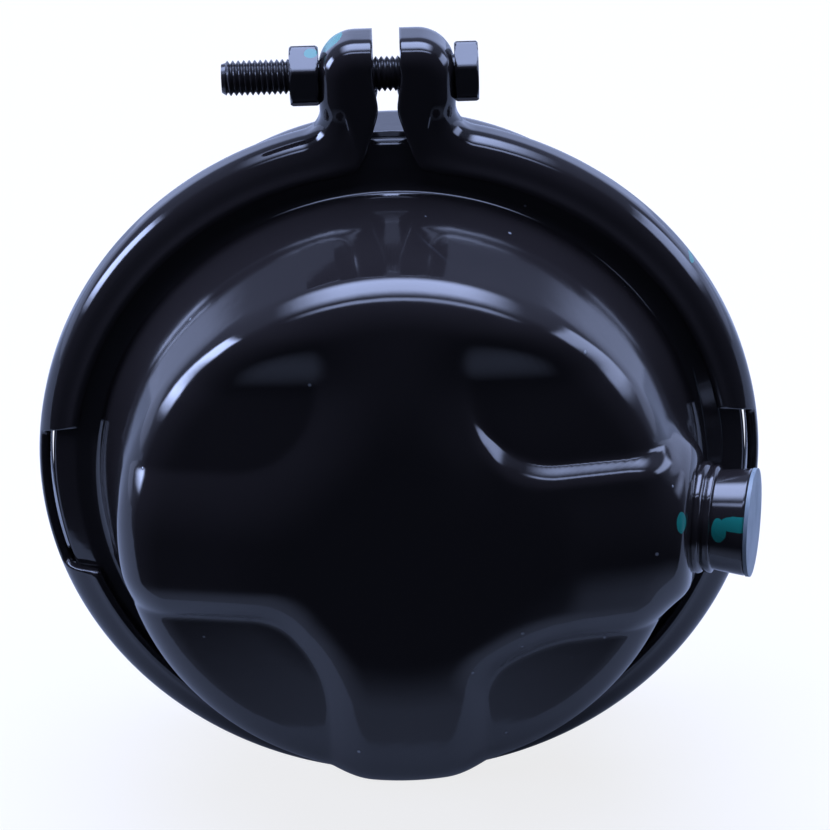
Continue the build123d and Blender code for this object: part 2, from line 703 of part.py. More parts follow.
def hexagon_bar(flats, height, corner_angle):
    """Hexagonal prism on +Z with one corner at an angle from +X."""
    plan = RegularPolygon(flats / 2, 6, major_radius=False, rotation=corner_angle)
    return extrude(plan, amount=height)


def chamfered_hexagon(flats, height, corner_angle):
    """Hexagonal prism with both ends' corners turned off at a shallow angle."""
    corner = flats / math.sqrt(3)
    drop = (corner - flats / 2) * math.tan(math.radians(HEX_END_ANGLE))
    outline = [
        (0, 0),
        (flats / 2, 0),
        (corner, drop),
        (corner, height - drop),
        (flats / 2, height),
        (0, height),
    ]
    cone = revolve(Plane.XZ * make_face(Polyline(*outline, close=True)), Axis.Z)
    return hexagon_bar(flats, height, corner_angle) & cone


def clamp_bolt():
    """Hexagon bolt through both lugs, its head on the port side."""
    shank = Cylinder(BOLT_RADIUS, BOLT_LENGTH, align=(Align.CENTER, Align.CENTER, Align.MAX))
    tip = shank.edges().filter_by(GeomType.CIRCLE).sort_by(Axis.Z)[0]
    shank = chamfer(tip, BOLT_CHAMFER)
    head = chamfered_hexagon(BOLT_HEAD_FLATS, BOLT_HEAD_HEIGHT, HEX_CORNER_ANGLE)
    return Pos(LUG_OUTER_X, SEAM_Y, BOLT_Z) * Rot(0, 90, 0) * (shank + head)


def clamp_nut():
    """Hexagon nut against the outer side of the left lug."""
    body = chamfered_hexagon(BOLT_HEAD_FLATS, BOLT_NUT_HEIGHT, HEX_CORNER_ANGLE)
    body -= Cylinder(BOLT_RADIUS + BOLT_NUT_FIT, 4 * BOLT_NUT_HEIGHT)
    return Pos(-LUG_OUTER_X - BOLT_NUT_HEIGHT, SEAM_Y, BOLT_Z) * Rot(0, 90, 0) * body


def diaphragm_radius(depth):
    """Outer radius of the diaphragm's side, just inside the pressure housing's wall."""
    side = SHEET / math.cos(math.radians(WALL_DRAFT))
    return wall_radius(depth) - side - DIAPHRAGM_WALL_GAP


def diaphragm():
    """Moulded rubber cup with a wedge bead between the flanges."""
    thickness = DIAPHRAGM_THICKNESS
    back = DIAPHRAGM_FACE_DEPTH - thickness
    bead_start = FLANGE_FLAT_RADIUS - SHEET / 2
    front_points = [
        (0, DIAPHRAGM_FACE_DEPTH),
        (diaphragm_radius(DIAPHRAGM_FACE_DEPTH), DIAPHRAGM_FACE_DEPTH),
        (diaphragm_radius(BEAD_AXIAL), BEAD_AXIAL),
        (bead_start, BEAD_AXIAL),
        (BEAD_RADIUS, BEAD_RIM_AXIAL),
        (BEAD_RADIUS, -BEAD_RIM_AXIAL),
        (bead_start, -BEAD_AXIAL),
        (diaphragm_radius(-BEAD_AXIAL) - thickness, -BEAD_AXIAL),
        (diaphragm_radius(back) - thickness, back),
        (0, back),
    ]
    corner = DIAPHRAGM_CORNER
    bends = [0, corner, DIAPHRAGM_ROOT_BEND, 0, BEAD_EDGE_BEND]
    bends += [BEAD_EDGE_BEND, 0, DIAPHRAGM_INNER_ROOT_BEND, corner - thickness, 0]
    points = [(radius, seam_forward(depth)) for radius, depth in front_points]
    return revolved(closed_outline(points, bends))


def plate_depth():
    """Depth of the push plate's front face, just behind the diaphragm."""
    return DIAPHRAGM_FACE_DEPTH - DIAPHRAGM_THICKNESS - PLATE_GAP


def push_plate():
    """Pressed dish that the diaphragm pushes on."""
    front = plate_depth()
    rim = diaphragm_radius(front) - DIAPHRAGM_THICKNESS - PLATE_SIDE_GAP
    path = [
        (0, seam_forward(front)),
        (rim, seam_forward(front)),
        (rim, seam_forward(front - PLATE_RIM_HEIGHT)),
    ]
    return revolved(sheet_outline(path, [PLATE_CORNER], PLATE_SHEET))


def rod_foot_y():
    """Y of the push plate's rear side, where the rod stands."""
    return seam_forward(plate_depth() - PLATE_SHEET)


def push_rod():
    """Plain round rod from the plate to the clevis."""
    foot = rod_foot_y()
    points = [
        (0, foot),
        (ROD_RADIUS, foot),
        (ROD_RADIUS, ROD_EXTENSION - ROD_CHAMFER),
        (ROD_RADIUS - ROD_CHAMFER, ROD_EXTENSION),
        (0, ROD_EXTENSION),
    ]
    return revolved(Polyline(*points, close=True).edges())


def rod_weld():
    """Weld ring between the rod and the plate."""
    foot = rod_foot_y()
    toe = ROD_RADIUS + ROD_WELD_LEG
    points = [(ROD_RADIUS, foot), (toe, foot), (ROD_RADIUS, foot + ROD_WELD_LEG)]
    return revolved(Polyline(*points, close=True).edges())


def return_spring():
    """Conical spring between the push plate and the rear housing's base."""
    margin = SPRING_GAP + SPRING_WIRE / 2
    start = rod_foot_y() + margin
    height = -SHEET - margin - start
    cone = math.degrees(math.atan2(SPRING_BIG_RADIUS - SPRING_SMALL_RADIUS, height))
    path = Helix(
        height / SPRING_TURNS,
        height,
        SPRING_SMALL_RADIUS,
        center=(0, start, 0),
        direction=(0, 1, 0),
        cone_angle=cone,
    )
    section = Plane(origin=path @ 0, z_dir=path % 0) * Circle(SPRING_WIRE / 2)
    return sweep(section, path=path, is_frenet=True)


def rod_seal():
    """Rubber guard snapped into the rod opening, with a lip close to the rod."""
    lip = ROD_RADIUS + SEAL_LIP_GAP
    neck = ROD_OPENING_RADIUS - SEAL_GROOVE_FIT
    outer_face = -DISH_DEPTH
    inner_face = -DISH_DEPTH - SHEET
    outer_radius = ROD_OPENING_RADIUS + SEAL_FLANGE_WIDTH
    inner_radius = ROD_OPENING_RADIUS + SEAL_INNER_FLANGE_WIDTH
    points = [
        (lip, inner_face - SEAL_FLANGE_THICKNESS),
        (inner_radius, inner_face - SEAL_FLANGE_THICKNESS),
        (inner_radius, inner_face),
        (neck, inner_face),
        (neck, outer_face),
        (outer_radius, outer_face),
        (outer_radius, outer_face + SEAL_FLANGE_THICKNESS),
        (lip, outer_face + SEAL_FLANGE_THICKNESS),
    ]
    return revolved(Polyline(*points, close=True).edges())


def lock_nut():
    """Thin nut that locks the clevis on the rod."""
    body = chamfered_hexagon(LOCK_NUT_FLATS, LOCK_NUT_HEIGHT, 0)
    body -= Cylinder(ROD_RADIUS + ROD_NUT_FIT, 4 * LOCK_NUT_HEIGHT)
    return Pos(0, CLEVIS_START - LOCK_NUT_HEIGHT, 0) * Rot(-90, 0, 0) * body


def pin_y():
    """Y of the clevis pin's axis."""
    return CLEVIS_START + CLEVIS_PIN_REACH


def clevis():
    """Forged yoke: a round neck, sloping shoulders and two ears round the pin."""
    neck_end = CLEVIS_START + CLEVIS_NECK_LENGTH
    throat = CLEVIS_START + CLEVIS_THROAT
    neck = Pos(0, CLEVIS_START, 0) * Rot(-90, 0, 0) * Cylinder(
        CLEVIS_NECK_RADIUS,
        CLEVIS_NECK_LENGTH + CLEVIS_SHOULDER / 2,
        align=(Align.CENTER, Align.CENTER, Align.MIN),
    )
    half = CLEVIS_WIDTH / 2
    ear = CLEVIS_EAR_RADIUS
    ear_end = pin_y() + ear
    plan = [
        (-CLEVIS_NECK_RADIUS, neck_end - CLEVIS_NECK_BEND),
        (CLEVIS_NECK_RADIUS, neck_end - CLEVIS_NECK_BEND),
        (half, neck_end + CLEVIS_SHOULDER),
        (half, ear_end),
        (-half, ear_end),
        (-half, neck_end + CLEVIS_SHOULDER),
    ]
    bends = [CLEVIS_NECK_BEND, CLEVIS_NECK_BEND, CLEVIS_SHOULDER_BEND, 0, 0, CLEVIS_SHOULDER_BEND]
    wide = extrude(make_face(FilletPolyline(*plan, radius=bends, close=True)), ear, both=True)
    shoulder = neck_end - CLEVIS_SHOULDER
    side = [
        Line((shoulder, -ear), (pin_y(), -ear)),
        ThreePointArc((pin_y(), -ear), (ear_end, 0), (pin_y(), ear)),
        Line((pin_y(), ear), (shoulder, ear)),
        Line((shoulder, ear), (shoulder, -ear)),
    ]
    profile = Plane(origin=(0, 0, 0), x_dir=(0, 1, 0), z_dir=(1, 0, 0))
    ears = extrude(profile * make_face([line.edge() for line in side]), half, both=True)
    slot = Pos(0, throat, 0) * Box(
        CLEVIS_FORK_GAP, ear_end, 4 * ear, align=(Align.CENTER, Align.MIN, Align.CENTER)
    )
    rod_bore = Pos(0, CLEVIS_START, 0) * Rot(-90, 0, 0) * Cylinder(
        ROD_RADIUS + ROD_NUT_FIT, 2 * CLEVIS_ROD_BORE
    )
    pin_bore = Pos(0, pin_y(), 0) * Rot(0, 90, 0) * Cylinder(PIN_RADIUS + PIN_FIT, 2 * CLEVIS_WIDTH)
    return neck + (wide & ears) - slot - rod_bore - pin_bore


def turned_on_pin(points):
    """Solid turned about the clevis pin's axis from X and radius."""
    return Pos(0, pin_y(), 0) * revolve(make_face(Polyline(*points, close=True)), Axis.X)


def clevis_pin():
    """Headed pin, drilled across its tail for the cotter."""
    face = CLEVIS_WIDTH / 2 + PIN_SIDE_GAP
    tail = -face - WASHER_THICKNESS - PIN_TAIL
    pin = turned_on_pin([
        (tail, 0),
        (tail, PIN_RADIUS - PIN_END_CHAMFER),
        (tail + PIN_END_CHAMFER, PIN_RADIUS),
        (face, PIN_RADIUS),
        (face, PIN_HEAD_RADIUS),
        (face + PIN_HEAD_HEIGHT - PIN_HEAD_CHAMFER, PIN_HEAD_RADIUS),
        (face + PIN_HEAD_HEIGHT, PIN_HEAD_RADIUS - PIN_HEAD_CHAMFER),
        (face + PIN_HEAD_HEIGHT, 0),
    ])
    return pin - Pos(cotter_x(), pin_y(), 0) * Cylinder(COTTER_HOLE_RADIUS, 4 * PIN_RADIUS)


def cotter_x():
    """X of the cotter's hole, just outside the washer."""
    washer_face = CLEVIS_WIDTH / 2 + PIN_SIDE_GAP + WASHER_THICKNESS
    return -(washer_face + COTTER_HOLE_RADIUS + COTTER_SIDE_GAP)


def pin_washer():
    """Plain washer between the ear and the cotter."""
    face = -(CLEVIS_WIDTH / 2 + PIN_SIDE_GAP)
    bore = PIN_RADIUS + PIN_FIT
    return turned_on_pin([
        (face, bore),
        (face, WASHER_RADIUS),
        (face - WASHER_THICKNESS, WASHER_RADIUS),
        (face - WASHER_THICKNESS, bore),
    ])


def cotter_pin():
    """Split pin with its eye above the clevis pin and its legs bent apart below."""
    wire = COTTER_WIRE_RADIUS
    reach = PIN_RADIUS + wire
    eye_z = PIN_RADIUS + COTTER_EYE_RADIUS + 2 * COTTER_RADIUS - wire
    shank_length = reach + eye_z - COTTER_EYE_RADIUS
    split = Pos(0, 0, -reach) * Cylinder(
        COTTER_RADIUS, shank_length, align=(Align.CENTER, Align.CENTER, Align.MIN)
    )
    split += Pos(0, 0, eye_z) * Rot(0, 90, 0) * Torus(COTTER_EYE_RADIUS, wire)
    for side in (-1, 1):
        leg = Cylinder(wire, COTTER_LEG_LENGTH, align=(Align.CENTER, Align.CENTER, Align.MAX))
        split += Pos(0, side * wire, wire - reach) * Rot(side * COTTER_LEG_SPREAD, 0, 0) * leg
    return Pos(cotter_x(), pin_y(), 0) * split


NODES = {
    "pressure_housing": pressure_housing,
    "port_boss": port_boss,
    "port_weld_bead": port_weld_bead,
    "port_plug": port_plug,
    "rear_housing": rear_housing,
    "drain_plugs": drain_plugs,
    "stud_left": lambda: mounting_stud(-1),
    "stud_right": lambda: mounting_stud(1),
    "clamp_band": clamp_band,
    "clamp_bolt": clamp_bolt,
    "clamp_nut": clamp_nut,
    "diaphragm": diaphragm,
    "return_spring": return_spring,
    "push_plate": push_plate,
    "push_rod": push_rod,
    "rod_weld": rod_weld,
    "rod_seal": rod_seal,
    "lock_nut": lock_nut,
    "clevis": clevis,
    "clevis_pin": clevis_pin,
    "pin_washer": pin_washer,
    "cotter_pin": cotter_pin,
}

os.makedirs("parts", exist_ok=True)
for name, make in NODES.items():
    export_step(make(), f"parts/{name}.step")
    print("wrote", name)
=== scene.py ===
import collections
import math

import bpy
import numpy as np
from mathutils import Matrix, Vector


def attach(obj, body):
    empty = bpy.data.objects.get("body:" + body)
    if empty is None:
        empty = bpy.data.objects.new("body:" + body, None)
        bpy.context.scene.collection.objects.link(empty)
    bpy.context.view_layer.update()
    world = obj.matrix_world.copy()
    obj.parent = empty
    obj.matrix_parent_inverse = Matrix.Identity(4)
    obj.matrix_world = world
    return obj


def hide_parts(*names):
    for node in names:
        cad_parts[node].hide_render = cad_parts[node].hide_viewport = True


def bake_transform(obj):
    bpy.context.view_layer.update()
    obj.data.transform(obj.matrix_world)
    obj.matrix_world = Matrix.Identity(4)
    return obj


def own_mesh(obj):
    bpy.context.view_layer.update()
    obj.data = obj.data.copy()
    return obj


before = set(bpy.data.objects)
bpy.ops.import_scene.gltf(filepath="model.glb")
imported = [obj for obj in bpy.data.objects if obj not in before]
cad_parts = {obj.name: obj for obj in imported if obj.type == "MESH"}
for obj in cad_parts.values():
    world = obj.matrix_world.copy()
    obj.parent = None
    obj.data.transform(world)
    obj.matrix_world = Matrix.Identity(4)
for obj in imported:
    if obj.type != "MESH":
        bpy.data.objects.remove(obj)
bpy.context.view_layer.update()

MM = 0.001
# Radius of a profile's points on its axis, the gap that counts as none, and half the angle of a corner
# that is nearly straight
AXIS_RADIUS = 0.05
SAME = 1e-6
NEARLY_STRAIGHT = 1.56

# Frame of the chamber in millimetres: origin at the mounting face, +Y along the push rod.
# Depths are measured forward of the seam between the two housings.
SHEET = 3.0
SEAM_Y = -44.0
FLANGE_RADIUS = 82.5
FLANGE_FLAT_RADIUS = 77.0
FLANGE_OUTER_AXIAL = 6.2
FLANGE_RIM_AXIAL = 4.6
FLANGE_MOUTH_AXIAL = 1.6
FLANGE_BENDS = (3.5, 4.0, 1.4, 0.5, 3.0, 5.0)
RIM_JOIN_DEPTH = 11.5

# Pressed face of the pressure housing
FACE_DEPTH = 53.5
FACE_DISC_RADIUS = 33.0
ARM_SLOPE = math.radians(10.0)
EDGE_BEND = 12.0
DISC_BEND = 40.0
EDGE_BEND_RADIAL = 53.3
WALL_DRAFT = math.radians(10.0)
RECESS_DEPTH = 4.0
RECESS_FADE_DEPTH = 28.0
RECESS_FADE_DRAFT = math.radians(14.0)
RECESS_SOFTNESS = 0.25
RECESS_OFFSET = 0.02
FLANK_GENTLE_WIDTH = 16.0
FLANK_LOWER_WIDTH = 10.0
FLANK_MIDDLE = 0.75
FLANK_STEEP_WIDTH = 3.0
FLANK_STEEP_FOOT = 2.1
FLANK_CREST_BEND = 0.5
FLANK_FLOOR_BEND = 0.1
UPPER_SPAN = 10.0
STEEP_START_X = 13.0
STEEP_SPAN = 9.0
RECESS_TOP_END = 55.0
RECESS_TOP_FADE = 16.0

# Recesses between the arms of the raised cross: their side in X and Z, the half widths of the arms beside
# them at the middle of the slopes, and the chamfer in their corner
RECESSES = (
    (1, 1, 13.2, 19.0, 14.0, 14.5),
    (-1, 1, 14.0, 17.0, 14.0, 14.5),
    (-1, -1, 15.8, 13.7, 11.5, 16.7),
    (1, -1, 16.3, 22.0, 14.5, 9.5),
)
ARM_MEETING_BEND = 4.0
CORNER_BEND = 6.0

# Mesh of the pressed cup: where its rays start, how they are searched, and its rows and columns
CAST_DEPTH = 20.0
CAST_NEAR = 0.7
CAST_FAR = 1.35
CAST_HALVINGS = 26
GUIDE_START = 0.4
GUIDE_EDGE_POINTS = 12
GUIDE_CROWDING = 0.85
SHELL_COLUMNS = 420
SHELL_SHARP = 50
SHELL_OUTER_ROWS = 110
SHELL_INNER_ROWS = 44
OUTER_JOIN_GAP = 0.6
INNER_JOIN_GAP = 1.0

# Port pad, boss and weld
PORT_LEAN = math.radians(14.0)
PORT_DEPTH = 32.0
PORT_Z = -2.0
PAD_RADIAL = 68.0
PAD_HALF_WIDTH = 16.5
PAD_CENTRE_DEPTH = 33.0
PAD_TAPER = 0.35
PAD_LENGTH = 20.0
PAD_EDGE_BEND = 3.5
PAD_BACK_BEND = 3.0
PAD_BLEND = 7.0
PAD_STANDS_OUT = 1.5
BOSS_FOOT_RADIUS = 11.0
BOSS_END_RADIUS = 12.5
BOSS_LENGTH = 13.0
BOSS_SPIGOT = 9.0
BOSS_SPIGOT_END = -3.0
BOSS_MOUTH_RADIUS = 8.6
BOSS_MOUTH_END = 10.8
BOSS_BORE_RADIUS = 7.3
BOSS_BORE_END = 10.4
SPIGOT_RADIUS = 9.05
WELD_LIMIT = 13.6
WELD_LENGTH = 5.5
WELD_SPLIT = 0.54
WELD_LOW_HEIGHT = 2.35
WELD_HIGH_HEIGHT = 1.55
WELD_SUNK = 0.35
WELD_INSIDE = 0.6

# Clamp band
BAND_RADIUS = 86.0
BAND_SHEET = 2.5
BAND_LIP_RADIUS = 77.8
BAND_RIM_HALF = 6.2
BAND_LIP_HALF = 8.62
BAND_SECTION_BEND = 6.3
LUG_OUTER_X = 15.5
LUG_TOP_Z = 107.0
LUG_HALF = 8.68
LUG_SECTION_BEND = 5.4
LIP_FLARE = math.radians(36.0)
LIP_FLARE_LENGTH = 2.6
LUG_TOP_BEND = 8.5
LUG_FOOT_BEND = 6.0
LUG_GAP_X = 3.1
LUG_WAIST = (2.0, 91.0)
LUG_BLEND = 9.0
LIP_FOOT = (5.4, 80.0)
BOW_START = math.radians(84.5)
NOTCH_TOP = math.radians(9.3)
NOTCH_BOTTOM = math.radians(-17.0)
NOTCH_HALF = 4.6
NOTCH_RAMP = math.radians(3.4)
BAND_EDGE_ROUNDING = 1.0
SECTION_POINTS = 23
SECTION_EDGE_SHARE = 0.14

# Clamp bolt
BOLT_Z = 97.5
BOLT_RADIUS = 4.0
BOLT_LENGTH = 53.0
BOLT_PITCH = 1.25
BOLT_THREAD = 46.0
BOLT_HEAD_FLATS = 13.0
BOLT_HEAD_HEIGHT = 5.3
BOLT_NUT_HEIGHT = 6.5
BOLT_NUT_BORE = 4.05
BOLT_THREAD_DEPTH = 0.72
HEX_CORNER_ANGLE = math.radians(33.4)
HEX_FACE_RADIUS = 6.3
HEX_RIM_RADIUS = 8.0
HEX_RIM_ROWS = 26
FINE_COLUMNS = 96
HEX_SHARP = 38
HEX_CORNER_CUT = 0.12
HEX_CORNER_BEND = 0.25
HEX_CHAMFER = math.radians(30)

# Threads, cut from their crests inwards
THREAD_STEEPNESS = 1.25
THREAD_CREST = 0.12
THREAD_RUNOUT = 0.6
THREAD_ROWS = 12
THREAD_SHARP = 40

# Studs and rod
STUD_X = 60.325
STUD_RADIUS = 8.0
STUD_LENGTH = 38.0
STUD_SHOULDER_RADIUS = 8.5
STUD_HEAD_RADIUS = 11.0
STUD_HEAD = 5.0
STUD_PITCH = 1.5
STUD_THREAD_DEPTH = 0.9
STUD_COLUMNS = 64
STUD_SEAT_Y = -0.05
REAR_INSIDE_Y = -3.0
HEAD_ROOM = 68.45
ROD_RADIUS = 8.0
ROD_END = 58.0
ROD_THREAD_START = 14.0
PLATE_REAR_DEPTH = 35.2

# Diaphragm and spring
DIAPHRAGM_THICKNESS = 3.0
DIAPHRAGM_FACE_DEPTH = 41.6
DIAPHRAGM_WALL_GAP = 0.8
DIAPHRAGM_ROW_GAP = 1.6
BEAD_FLAT_RADIUS = 75.5
BEAD_RADIUS = 81.6
BEAD_AXIAL = 3.1
BEAD_RIM_AXIAL = 1.6
SPRING_WIRE = 4.4
SPRING_BIG = 42.0
SPRING_SMALL = 23.0
SPRING_TURNS = 5
SPRING_GAP = 0.3
SPRING_RINGS_PER_TURN = 72
SPRING_COLUMNS = 14


def seam_forward(depth):
    """Y of a plane that lies forward of the seam."""
    return SEAM_Y - depth


def new_object(name, points, faces):
    """Mesh object from millimetre points and faces, shaded smooth."""
    mesh = bpy.data.meshes.new(name)
    mesh.from_pydata((np.asarray(points) * MM).tolist(), [], faces)
    mesh.validate()
    mesh.shade_smooth()
    piece = bpy.data.objects.new(name, mesh)
    bpy.context.scene.collection.objects.link(piece)
    return piece


def circle(columns):
    """Evenly spaced angles, once round."""
    return np.linspace(0, 2 * math.pi, columns, endpoint=False)


def grid_faces(rows, columns, wrap_rows=False):
    """Quads of rows of points, each row closed on itself, and the last row on the first if asked."""
    last_row = rows if wrap_rows else rows - 1
    row, column = np.meshgrid(np.arange(last_row), np.arange(columns), indexing="ij")
    below = (row + 1) % rows
    beside = (column + 1) % columns
    corners = (row * columns + column, row * columns + beside, below * columns + beside,
               below * columns + column)
    return np.stack(corners, -1).reshape(-1, 4).tolist()


def smooth_step(value):
    """Cubic step from 0 to 1."""
    value = np.clip(value, 0, 1)
    return value * value * (3 - 2 * value)


def smooth_min(first, second, width):
    """Minimum of two distances, rounded over a width."""
    share = np.clip(0.5 + 0.5 * (second - first) / width, 0, 1)
    return second + (first - second) * share - width * share * (1 - share)


def smooth_max(first, second, width):
    """Maximum of two distances, rounded over a width."""
    return -smooth_min(-first, -second, width)


def rounded_profile(radius, depth, disc_radius, disc_depth, wall_radius_at_seam, draft):
    """Signed distance to a cup's outline: flat disc, sloping face, rounded edge, drafted wall."""
    disc = depth - disc_depth
    cone = (depth - disc_depth) * math.cos(ARM_SLOPE) + (radius - disc_radius) * math.sin(ARM_SLOPE)
    wall = (radius - wall_radius_at_seam) * math.cos(draft) + depth * math.sin(draft)
    face = smooth_max(disc, cone, DISC_BEND * ARM_SLOPE ** 2)
    # The edge's rounding has its centre EDGE_BEND inside both the sloping face and the wall.
    matrix = np.array([
        [math.sin(ARM_SLOPE), math.cos(ARM_SLOPE)],
        [math.cos(draft), math.sin(draft)],
    ])
    offsets = np.array([
        -EDGE_BEND + disc_depth * math.cos(ARM_SLOPE) + disc_radius * math.sin(ARM_SLOPE),
        -EDGE_BEND + wall_radius_at_seam * math.cos(draft),
    ])
    centre_radius, centre_depth = np.linalg.solve(matrix, offsets)
    angle = np.arctan2(depth - centre_depth, radius - centre_radius)
    in_bend = (angle > draft) & (angle < math.pi / 2 - ARM_SLOPE)
    bend = np.hypot(radius - centre_radius, depth - centre_depth) - EDGE_BEND
    return np.where(in_bend, bend, np.maximum(face, wall))


def edge_drop():
    """How far the centre of the edge's rounding lies below the face disc."""
    run = EDGE_BEND_RADIAL + EDGE_BEND * math.sin(ARM_SLOPE) - FACE_DISC_RADIUS
    return run * math.tan(ARM_SLOPE) + EDGE_BEND * math.cos(ARM_SLOPE)


def wall_radius(depth):
    """Outer radius of the pressure housing's drafted wall at a depth."""
    tangent_radial = EDGE_BEND_RADIAL + EDGE_BEND * math.cos(WALL_DRAFT)
    tangent_depth = FACE_DEPTH - edge_drop() + EDGE_BEND * math.sin(WALL_DRAFT)
    return tangent_radial + (tangent_depth - depth) * math.tan(WALL_DRAFT)


def recess_plan(x, z):
    """Distance outside the raised cross, in plan: positive in the recesses between its arms."""
    inside = np.full_like(x, -np.inf)
    for sign_x, sign_z, arm_x, arm_z, corner_x, corner_z in RECESSES:
        past_x = sign_x * x - arm_x
        past_z = sign_z * z - arm_z
        past_corner = (past_x / corner_x + past_z / corner_z - 1) / math.hypot(1 / corner_x, 1 / corner_z)
        region = smooth_min(smooth_min(past_x, past_z, ARM_MEETING_BEND), past_corner, CORNER_BEND)
        inside = np.maximum(inside, region)
    return inside


def recess_share(x, z):
    """How far a place in plan has fallen into a recess: 0 on the cross, 1 on a recess's floor."""
    outside = recess_plan(x, z)
    full = np.ones_like(outside)
    upper = smooth_step(0.5 + z / UPPER_SPAN)
    width = FLANK_LOWER_WIDTH + (FLANK_GENTLE_WIDTH - FLANK_LOWER_WIDTH) * upper
    run = np.maximum(FLANK_MIDDLE + outside / width, 0)
    gentle = np.maximum(smooth_min(run * run, full, FLANK_FLOOR_BEND), 0)
    fall = 1 + (outside - FLANK_STEEP_FOOT) / FLANK_STEEP_WIDTH
    crest = smooth_max(fall, np.zeros_like(outside), FLANK_CREST_BEND)
    steep = smooth_min(crest, full, FLANK_FLOOR_BEND)
    port_side = upper * smooth_step((x - STEEP_START_X) / STEEP_SPAN)
    share = gentle + port_side * (steep - gentle)
    return share * smooth_step((RECESS_TOP_END - z) / RECESS_TOP_FADE)


def cup_distance(x, z, depth):
    """Signed distance, nearly, to the pressed cup's outer surface with its cross and pad."""
    radius = np.hypot(x, z)
    raised = rounded_profile(radius, depth, FACE_DISC_RADIUS, FACE_DEPTH, wall_radius(0), WALL_DRAFT)
    fade = wall_radius(RECESS_FADE_DEPTH) + RECESS_FADE_DEPTH * math.tan(RECESS_FADE_DRAFT)
    lowered = rounded_profile(
        radius, depth, FACE_DISC_RADIUS, FACE_DEPTH - RECESS_DEPTH, fade, RECESS_FADE_DRAFT
    )
    drop = lowered - raised
    drop = 0.5 * (drop + np.sqrt(drop * drop + RECESS_SOFTNESS)) - RECESS_OFFSET
    pressed = raised + recess_share(x, z) * drop
    swollen = smooth_min(pressed, pad_distance(x, z, depth), PAD_BLEND)
    return np.maximum(swollen, depth - FACE_DEPTH)


def pad_distance(x, z, depth):
    """Signed distance to the round swelling whose flat end carries the port."""
    along = (x - PAD_RADIAL) * math.cos(PORT_LEAN) + (depth - PORT_DEPTH) * math.sin(PORT_LEAN)
    across = (depth - PAD_CENTRE_DEPTH) * math.cos(PORT_LEAN) - (x - PAD_RADIAL) * math.sin(PORT_LEAN)
    side = np.hypot(across, z - PORT_Z) - PAD_HALF_WIDTH + PAD_TAPER * along
    back = -along - PAD_LENGTH
    return smooth_max(smooth_max(along, side, PAD_EDGE_BEND), back, PAD_BACK_BEND)


def cast_surface(angles, guide, level):
    """Points where rays from a point on the axis meet a level of the cup's distance."""
    guide_radius, guide_depth = guide
    radial = guide_radius[:, None] * np.ones_like(angles)[None, :]
    axial = (guide_depth - CAST_DEPTH)[:, None] * np.ones_like(angles)[None, :]
    along_x = radial * np.cos(angles)
    along_z = radial * np.sin(angles)
    low = np.full_like(radial, CAST_NEAR)
    high = np.full_like(radial, CAST_FAR)
    for _ in range(CAST_HALVINGS):
        middle = (low + high) / 2
        outside = cup_distance(along_x * middle, along_z * middle, CAST_DEPTH + axial * middle) > level
        high = np.where(outside, middle, high)
        low = np.where(outside, low, middle)
    return np.stack([along_x * low, seam_forward(CAST_DEPTH + axial * low), along_z * low], -1)


def path_lengths(points):
    """Length along a polyline up to each of its points."""
    return np.concatenate([[0], np.cumsum(np.hypot(*np.diff(points, axis=0).T))])


def cup_guide(count, last_depth):
    """Radius and depth of points on the cup's outline, axis to wall, a little closer near the wall."""
    edge_depth = FACE_DEPTH - edge_drop()
    corners = [(GUIDE_START, FACE_DEPTH), (FACE_DISC_RADIUS, FACE_DEPTH)]
    for turn in np.linspace(math.pi / 2 - ARM_SLOPE, WALL_DRAFT, GUIDE_EDGE_POINTS):
        radial = EDGE_BEND_RADIAL + EDGE_BEND * math.cos(turn)
        corners.append((radial, edge_depth + EDGE_BEND * math.sin(turn)))
    corners.append((wall_radius(last_depth), last_depth))
    corners = np.array(corners)
    lengths = path_lengths(corners)
    where = np.linspace(0, 1, count) ** GUIDE_CROWDING * lengths[-1]
    return np.interp(where, lengths, corners[:, 0]), np.interp(where, lengths, corners[:, 1])


def arc_points(centre, radius, start, end, count):
    """Points of an arc in radius and depth, angles in degrees."""
    turn = np.radians(np.linspace(start, end, count))
    return [(centre[0] + radius * math.cos(a), centre[1] + radius * math.sin(a)) for a in turn]


def bent_path(points, bends, steps=5):
    """Polyline whose inner corners are replaced by arcs of the given radii."""
    result = [points[0]]
    for before, here, after, bend in zip(points, points[1:], points[2:], bends):
        here_v, first, second = (np.array(value, float) for value in (here, before, after))
        into = (first - here_v) / np.linalg.norm(first - here_v)
        out = (second - here_v) / np.linalg.norm(second - here_v)
        half = math.acos(np.clip(into @ out, -1, 1)) / 2
        if bend < SAME or half > NEARLY_STRAIGHT:
            result.append(tuple(here))
            continue
        reach = bend / math.tan(half)
        bisector = (into + out) / np.linalg.norm(into + out)
        centre = here_v + bisector * bend / math.sin(half)
        start, end = here_v + into * reach, here_v + out * reach
        for share in np.linspace(0, 1, steps + 1):
            spot = start * (1 - share) + end * share - centre
            result.append(tuple(centre + spot / np.linalg.norm(spot) * bend))
    result.append(points[-1])
    return result


def pressure_flange():
    """Radius and depth from the wall over the flange and round its rim to the inside."""
    outside = [
        (wall_radius(RIM_JOIN_DEPTH), RIM_JOIN_DEPTH),
        (wall_radius(FLANGE_OUTER_AXIAL), FLANGE_OUTER_AXIAL),
        (FLANGE_FLAT_RADIUS, FLANGE_OUTER_AXIAL),
        (FLANGE_RADIUS, FLANGE_RIM_AXIAL),
        (FLANGE_RADIUS, FLANGE_MOUTH_AXIAL),
        (FLANGE_FLAT_RADIUS, FLANGE_OUTER_AXIAL - SHEET),
        (wall_radius(FLANGE_OUTER_AXIAL) - SHEET, FLANGE_OUTER_AXIAL - SHEET),
        (wall_radius(RIM_JOIN_DEPTH) - SHEET, RIM_JOIN_DEPTH),
    ]
    return bent_path(outside, FLANGE_BENDS, 6)


